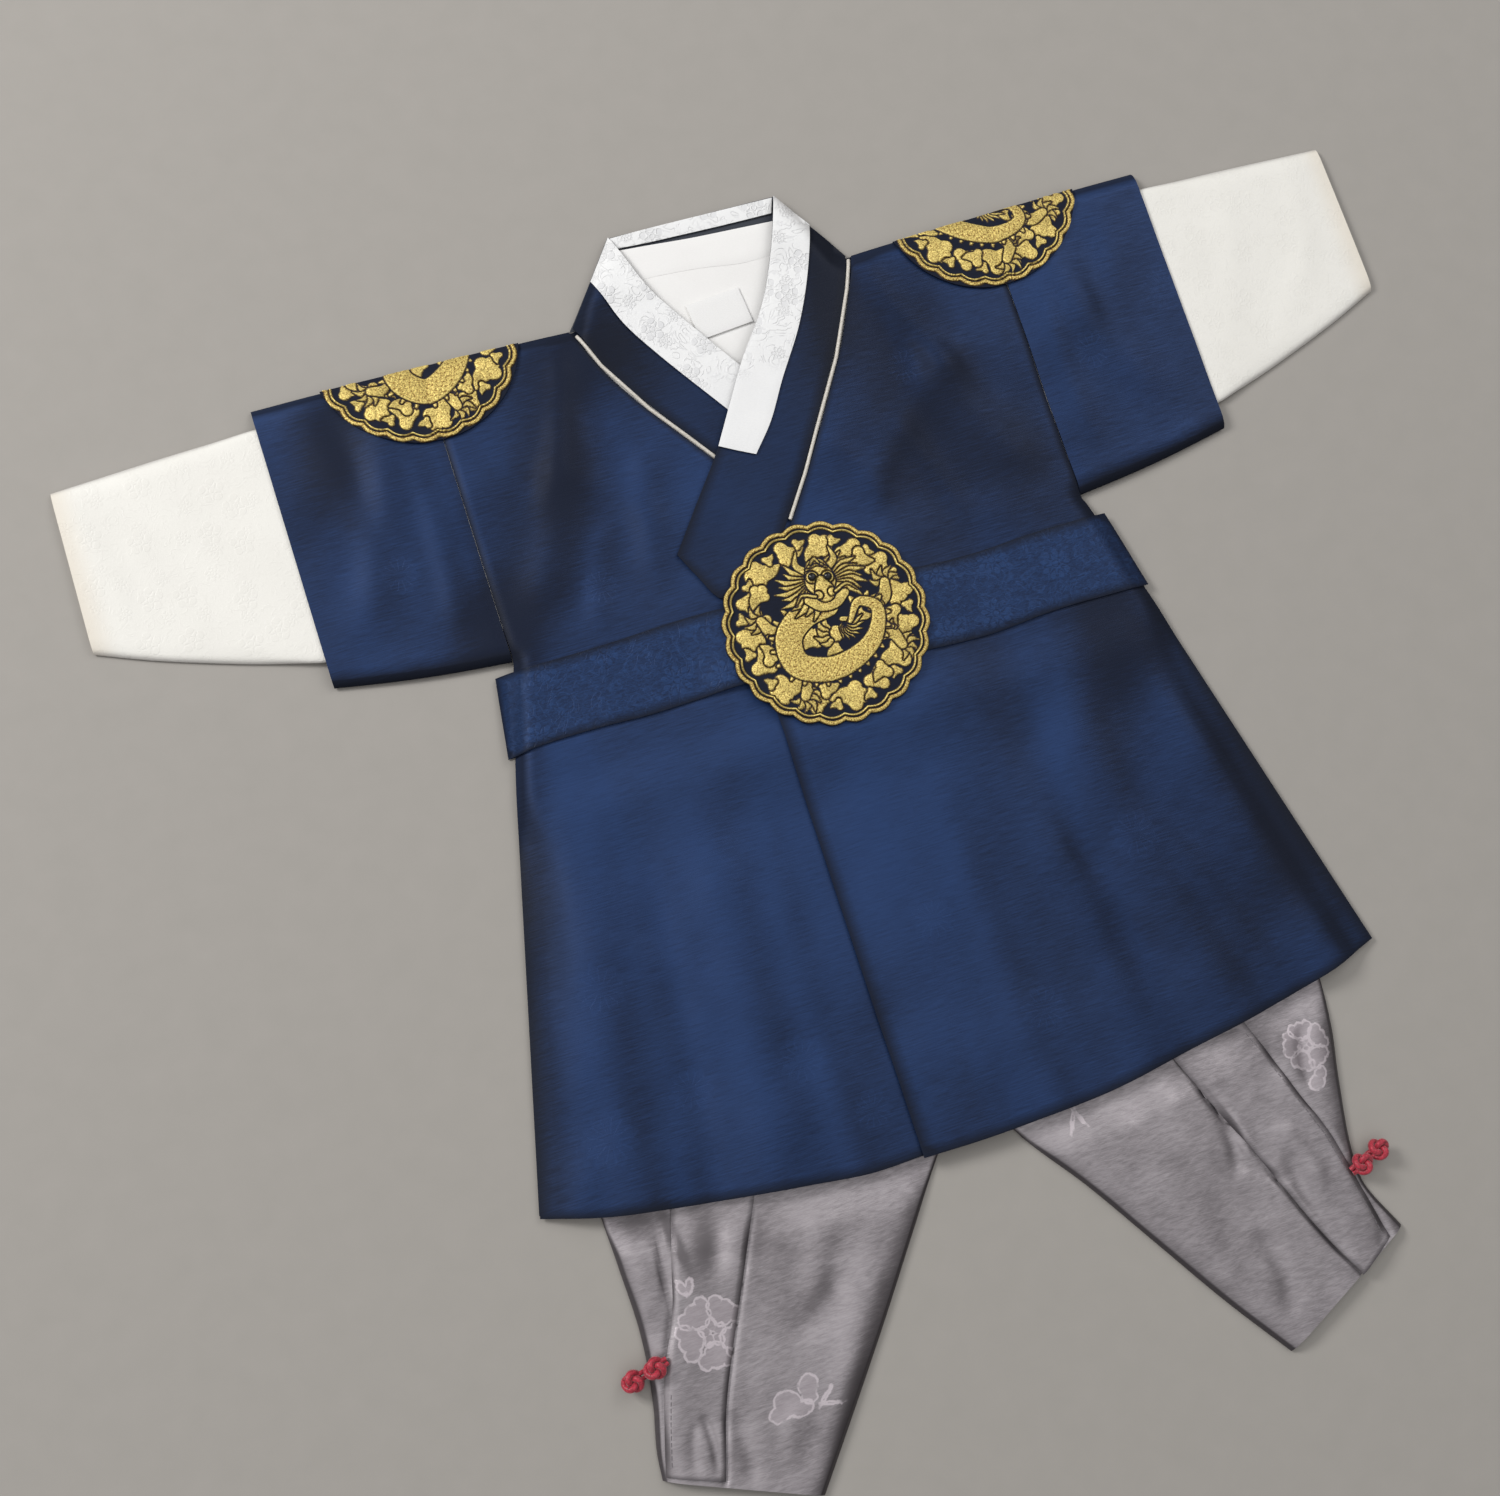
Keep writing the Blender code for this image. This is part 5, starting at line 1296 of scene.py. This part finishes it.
for side, word, surface in ((1.0, "Left", levelLeft), (-1.0, "Right", levelRight)):
    cx = side * shoulderCentreX
    drops = np.concatenate([[0.0, 0.15, 0.4], np.linspace(0.8, 42.6, 76)])
    rows = []
    for drop in drops:
        half = math.sqrt(max(roundelRadius ** 2 - (shoulderDrop + drop) ** 2, 4.0))
        places = [cx + half * t for t in np.linspace(-1.0, 1.0, 190)]
        rows.append([(x, float(shoulderY(x)) - drop) for x in places])
    grid = np.array(rows)
    x, y = grid[..., 0], grid[..., 1]
    u, v = (x - cx) / roundelRadius, (y - float(shoulderY(cx)) - shoulderDrop) / roundelRadius
    spin = 0.9 * side  # the motif is turned from the chest's
    uu, vv = u * math.cos(spin) - v * math.sin(spin), u * math.sin(spin) + v * math.cos(spin)
    node = "roundel_shoulder_" + word.lower()
    spec = {"name": "roundelShoulder" + word, "node": node}
    thing = roundelMesh(spec, x, y, uu, vv, raised(surface, cloth + 0.5), 1.0, 1.0, False)
    laid((0.110, 0.043), planArea(grid[::4, ::4]))
    back = []
    for drop in (0.0, 20.0, 40.0, 55.0, 64.0, 68.0):
        half = math.sqrt(roundelRadius ** 2 - (drop - shoulderDrop) ** 2)
        places = spread((cx - half, 0.0), (cx + half, 0.0), 7)
        back.append([(x, float(shoulderY(x)) - drop) for x, _ in places])
    spec = {"name": "roundelShoulder" + word + "Back", "node": node + "_back", "material": goldCloth}
    thing = shell(spec, back, flat, thin, 3.0, 0.8)
    laid((0.112, 0.069), planArea(back))

beads = []
for u, v in ((0.0, 0.448), (0.147, 0.414)):
    x, y = chestCentre[0] + u * roundelRadius, chestCentre[1] + v * roundelRadius
    z = float(chestLow(x, y)) + 2.6
    ball = []
    for i in range(9):
        a = math.pi * (i / 8.0 - 0.5)
        wide, tall = 2.4 * math.cos(a), 1.9 * math.sin(a)
        ball.append([(x + wide * math.cos(t), y + wide * math.sin(t), z + tall)
                     for t in np.linspace(0, 2 * math.pi, 16, endpoint=False)])
    beads.append((np.array(ball).reshape(-1, 3), gridFaces(9, 16, 0, False, True)))
points, faces = joined(beads)
makeMesh("eyeBeads", points, faces, beadBlack, "roundel_chest", covers=False)
print("roundels made")


# The inner shirt

def shirtBackRows():
    edge = 149.85
    columns = [p[0] for p in spread((-edge, 0.0), (edge, 0.0), 13)]
    rows = []
    for fall in (0.0, 0.5, 0.8):
        row = []
        for c in columns:
            start = float(readLine(shirtSeam, c)) - 0.15 if abs(c) < 60.0 else -12.8
            row.append((c, mix(start, -22.0, fall)))
        rows.append(row)
    rows += [[(c, y) for c in columns] for y in (-30.0, -55.0, -85.0, -115.0, -142.0, -160.0)]
    return rows + [spread((-146.0, y), (146.0, y), 13) for y in (-172.0, -200.0, -229.0)]


def shirtCollarRows():
    columns = [p[0] for p in spread((-149.85, 0.0), (149.85, 0.0), 13) if abs(p[0]) < 60.0]
    low = [(c, float(readLine(shirtSeam, c)) - 0.9) for c in columns]
    top = []
    for c in columns:
        x = max(c, -44.0)
        top.append((x, float(readLine(shirtTop, x)) + float(smooth((10.0 - c) / 45.0))))
    return [top, [between(a, b, 0.5) for a, b in zip(top, low)], low]


def shirtFrontRows(side):
    starts = {-13.6: 66.0, -30.0: 52.0, -55.0: 38.0, -85.0: 18.0, -115.0: -3.0, -142.0: -22.0,
              -160.0: -34.0}  # height of a row: where its free edge is
    least = -36.0 if side > 0 else -18.0
    rows = [spread((side * max(start, least), y), (side * 149.85, y), 8) for y, start in starts.items()]
    return rows + [spread((side * least, y), (side * 146.0, y), 8) for y in (-172.0, -205.0, -229.0)]


def shirtFrontLow(side):
    def low(x, y):
        return base(x, y) + 3.4 + (1.35 * (1.0 - smooth((x - 20.0) / 60.0)) if side > 0 else 0.0)
    return low


shirts = [
    {"name": "shirtBack", "node": "shirt_back", "rows": shirtBackRows(),
     "low": raised(base, cloth + 0.6), "flat": (0.300, 0.250), "under": ["robeBack"]},
    {"name": "shirtCollarBack", "node": "shirt_collar_back", "rows": shirtCollarRows(),
     "low": raised(base, cloth + 0.75), "flat": (0.100, 0.022), "under": ["collarBack"]},
    {"name": "shirtFrontRight", "node": "shirt_front_right", "rows": shirtFrontRows(-1.0),
     "low": shirtFrontLow(-1.0), "flat": (0.168, 0.216), "under": ["shirtBack"]},
    {"name": "shirtFrontLeft", "node": "shirt_front_left", "rows": shirtFrontRows(1.0),
     "low": shirtFrontLow(1.0), "flat": (0.186, 0.216), "under": ["shirtFrontRight", "shirtBack"]},
]
for spec in shirts:
    spec["material"] = innerCloth
    thing = shell(spec, spec["rows"], spec["low"], thin, 4.0 if "Collar" not in spec["name"] else 2.0, 0.6)
    laid(spec["flat"], planArea(spec["rows"]))
for side, word in ((1.0, "Left"), (-1.0, "Right")):
    stations = []
    for x in (150.15, 180.0, 210.0, 238.0, 257.0, 270.0, 288.0, 312.0, 338.0, 365.0):
        lowX = x + (1.3 if x == 365.0 else 0.0)
        topY, lowY = float(readLine(shirtSleeveTop, x)), float(readLine(shirtSleeveLow, lowX))
        stations.append(((side * x, topY), (side * lowX, lowY)))
    node = "shirt_sleeve_" + word.lower()
    spec = {"name": "shirtSleeve" + word, "node": node, "material": shirtCloth}
    thing = tube(spec, stations, shirtLow, shirtLevel, thin, 3.0, 0.7)
    laid((0.284, 0.216), 2.02 * planArea([[a, b] for a, b in stations]))
print("shirt made")


# The trousers

spec = {"name": "trousersWaistband", "node": "trousers_waistband", "material": legCloth}
stations = [((-122.0, y), (122.0, y)) for y in (-263.0, -277.0, -291.0)]
thing = tube(spec, stations, flat, raised(flat, thin + 0.6), thin, 4.0, 0.7)
laid((0.492, 0.028), 0.492 * 0.028)
for word, legs, edges in (("Left", legLeft, flapLeft), ("Right", legRight, flapRight)):
    node = "trousers_leg_" + word.lower()
    spec = {"name": "trousersLeg" + word, "node": node, "material": legCloth}
    thing = tube(spec, legs, flat, trouserLevel, thin, 2.0, 0.7)
    laid((0.400, 0.345), min(2.02 * planArea([[a, b] for a, b in legs]), 0.137))
    node = "trousers_flap_" + word.lower()
    rows = [spread(a, b, 5) for a, b in edges]
    spec = {"name": "trousersFlap" + word, "node": node, "material": flapCloth}
    thing = shell(spec, rows, raised(trouserLevel, thin + 0.45), thin, 1.2, 0.7)
    laid((0.046, 0.146), planArea(rows))


stitches = []
for edges, first in ((flapRight, -546.0), (flapLeft, -470.0)):
    side = 1.0 if edges is flapRight else -1.0
    y = first
    while y > edges[-1][0][1] + 4.0:
        ends = []
        for v in (y, y - 1.0, y - 2.0):
            x = float(readLine([(a[1], a[0]) for a, b in reversed(edges)], v)) + side * 3.2
            ends.append((x, v, float(trouserLevel(np.float64(x), np.float64(v))) + 2 * thin + 0.50))
        stitches.append(cordMesh(ends, 0.22, 5))
        y -= 3.1
points, faces = joined(stitches)
makeMesh("flapStitches", points, faces, threadGrey, "trousers_flap_right", covers=False)


# Knotted ankle buttons and loops

def knotPath(x, y, z, heading, size, seed):
    t = np.linspace(0, 2 * math.pi, 160, endpoint=False)
    swing = size * (0.62 + 0.30 * np.cos(3 * t + seed))
    a, b, c = swing * np.cos(2 * t), swing * np.sin(2 * t), size * 0.48 * np.sin(3 * t + seed)
    turn = math.radians(heading)
    return np.stack([x + a * math.cos(turn) - b * math.sin(turn),
                     y + a * math.sin(turn) + b * math.cos(turn), z + c], 1)


def knotPiece(name, node, x, y, z, heading, tail):
    parts = []
    for seed in (0.0, 1.05):
        parts.append(cordMesh(knotPath(x, y, z, heading + 30 * seed, 5.0, seed), 1.55, 9, True))
    turn = math.radians(heading)
    for side in (-1.0, 1.0):
        ends = [(x - s * math.cos(turn) - w * side * math.sin(turn),
                 y - s * math.sin(turn) + w * side * math.cos(turn), z - 0.25 * s)
                for s, w in ((1.0, 1.2), (4.0, 1.5), (tail, 1.2))]
        parts.append(cordMesh(bend(ends, 14), 1.25, 9))
    points, faces = joined(parts)
    makeMesh(name, points, faces, redCord, node)


# centre and heading in degrees: each ankle's button, then its loop
ankleKnots = {"left": [(194.5, -548.3, 19.3), (182.8, -552.4, 19.3)],
              "right": [(-212.8, -533.9, 193.7), (-200.5, -530.9, 193.7)]}
for word, places in ankleKnots.items():
    x, y, heading = places[0]
    knotPiece("ankleButton" + word.title(), "ankle_button_" + word, x, y, 6.6, heading, 9.0)
    x, y, heading = places[1]
    z = float(trouserLevel(np.float64(x), np.float64(y))) + thin + 6.2
    knotPiece("ankleLoop" + word.title(), "ankle_loop_" + word, x, y, z, heading, 7.0)
print("trousers made")


# Floor, light, camera

bpy.ops.mesh.primitive_plane_add(size=8.0, location=(0.0, 0.0, -0.0002))
floor = bpy.context.object
floor.name = "floor"
floorPaint = Paint("floorPale")
grain = floorPaint.noise(floorPaint.node("ShaderNodeTexCoord", output=3), 60.0, 3.0)
pale = floorPaint.blend(grain, (0.345, 0.325, 0.295), (0.375, 0.35, 0.32))
floor.data.materials.append(floorPaint.finish(Base_Color=pale, Roughness=0.85))

bpy.context.scene.view_settings.view_transform = "Standard"
world = bpy.data.worlds.new("studio")
bpy.context.scene.world = world
world.use_nodes = True
sky = world.node_tree.nodes.new("ShaderNodeTexCoord")
lift = world.node_tree.nodes.new("ShaderNodeSeparateXYZ")
ramp = world.node_tree.nodes.new("ShaderNodeMapRange")
shade = world.node_tree.nodes.new("ShaderNodeMix")
shade.data_type = "RGBA"
ramp.interpolation_type = "SMOOTHSTEP"
ramp.inputs[1].default_value, ramp.inputs[2].default_value = 0.25, 0.95
shade.inputs[6].default_value = (0.16, 0.15, 0.15, 1.0)  # near the ground
shade.inputs[7].default_value = (0.97, 0.98, 1.0, 1.0)  # overhead
world.node_tree.links.new(sky.outputs["Generated"], lift.inputs[0])
world.node_tree.links.new(lift.outputs[2], ramp.inputs[0])
world.node_tree.links.new(ramp.outputs[0], shade.inputs[0])
world.node_tree.links.new(shade.outputs[2], world.node_tree.nodes["Background"].inputs[0])
world.node_tree.nodes["Background"].inputs[1].default_value = 0.80

lamps = [
    {"name": "windowLamp", "place": (-1.75, 1.55, 1.7), "size": 0.9, "power": 50.0},
    {"name": "roomLamp", "place": (1.6, 1.3, 1.9), "size": 1.4, "power": 12.0},
]
for lamp in lamps:
    data = bpy.data.lights.new(lamp["name"], "AREA")
    data.size = lamp["size"]
    data.energy = lamp["power"]
    thing = bpy.data.objects.new(lamp["name"], data)
    bpy.context.scene.collection.objects.link(thing)
    thing.location = lamp["place"]
    aim = np.array(lamp["place"])
    thing.rotation_euler = (math.atan2(math.hypot(aim[0], aim[1]), aim[2]), 0.0,
                            math.atan2(aim[0], -aim[1]))

photoView = {"name": "photoCamera", "place": (-0.2241, -0.09685, 1.0776),
             "turn": (9.8564, -6.1003, -18.1602), "sensor": 36.0, "lens": 49.8}  # metres, degrees, mm
cameraData = bpy.data.cameras.new(photoView["name"])
cameraData.sensor_width = photoView["sensor"]
cameraData.lens = photoView["lens"]
camera = bpy.data.objects.new(photoView["name"], cameraData)
bpy.context.scene.collection.objects.link(camera)
camera.location = photoView["place"]
camera.rotation_euler = [math.radians(turn) for turn in photoView["turn"]]
bpy.context.scene.camera = camera
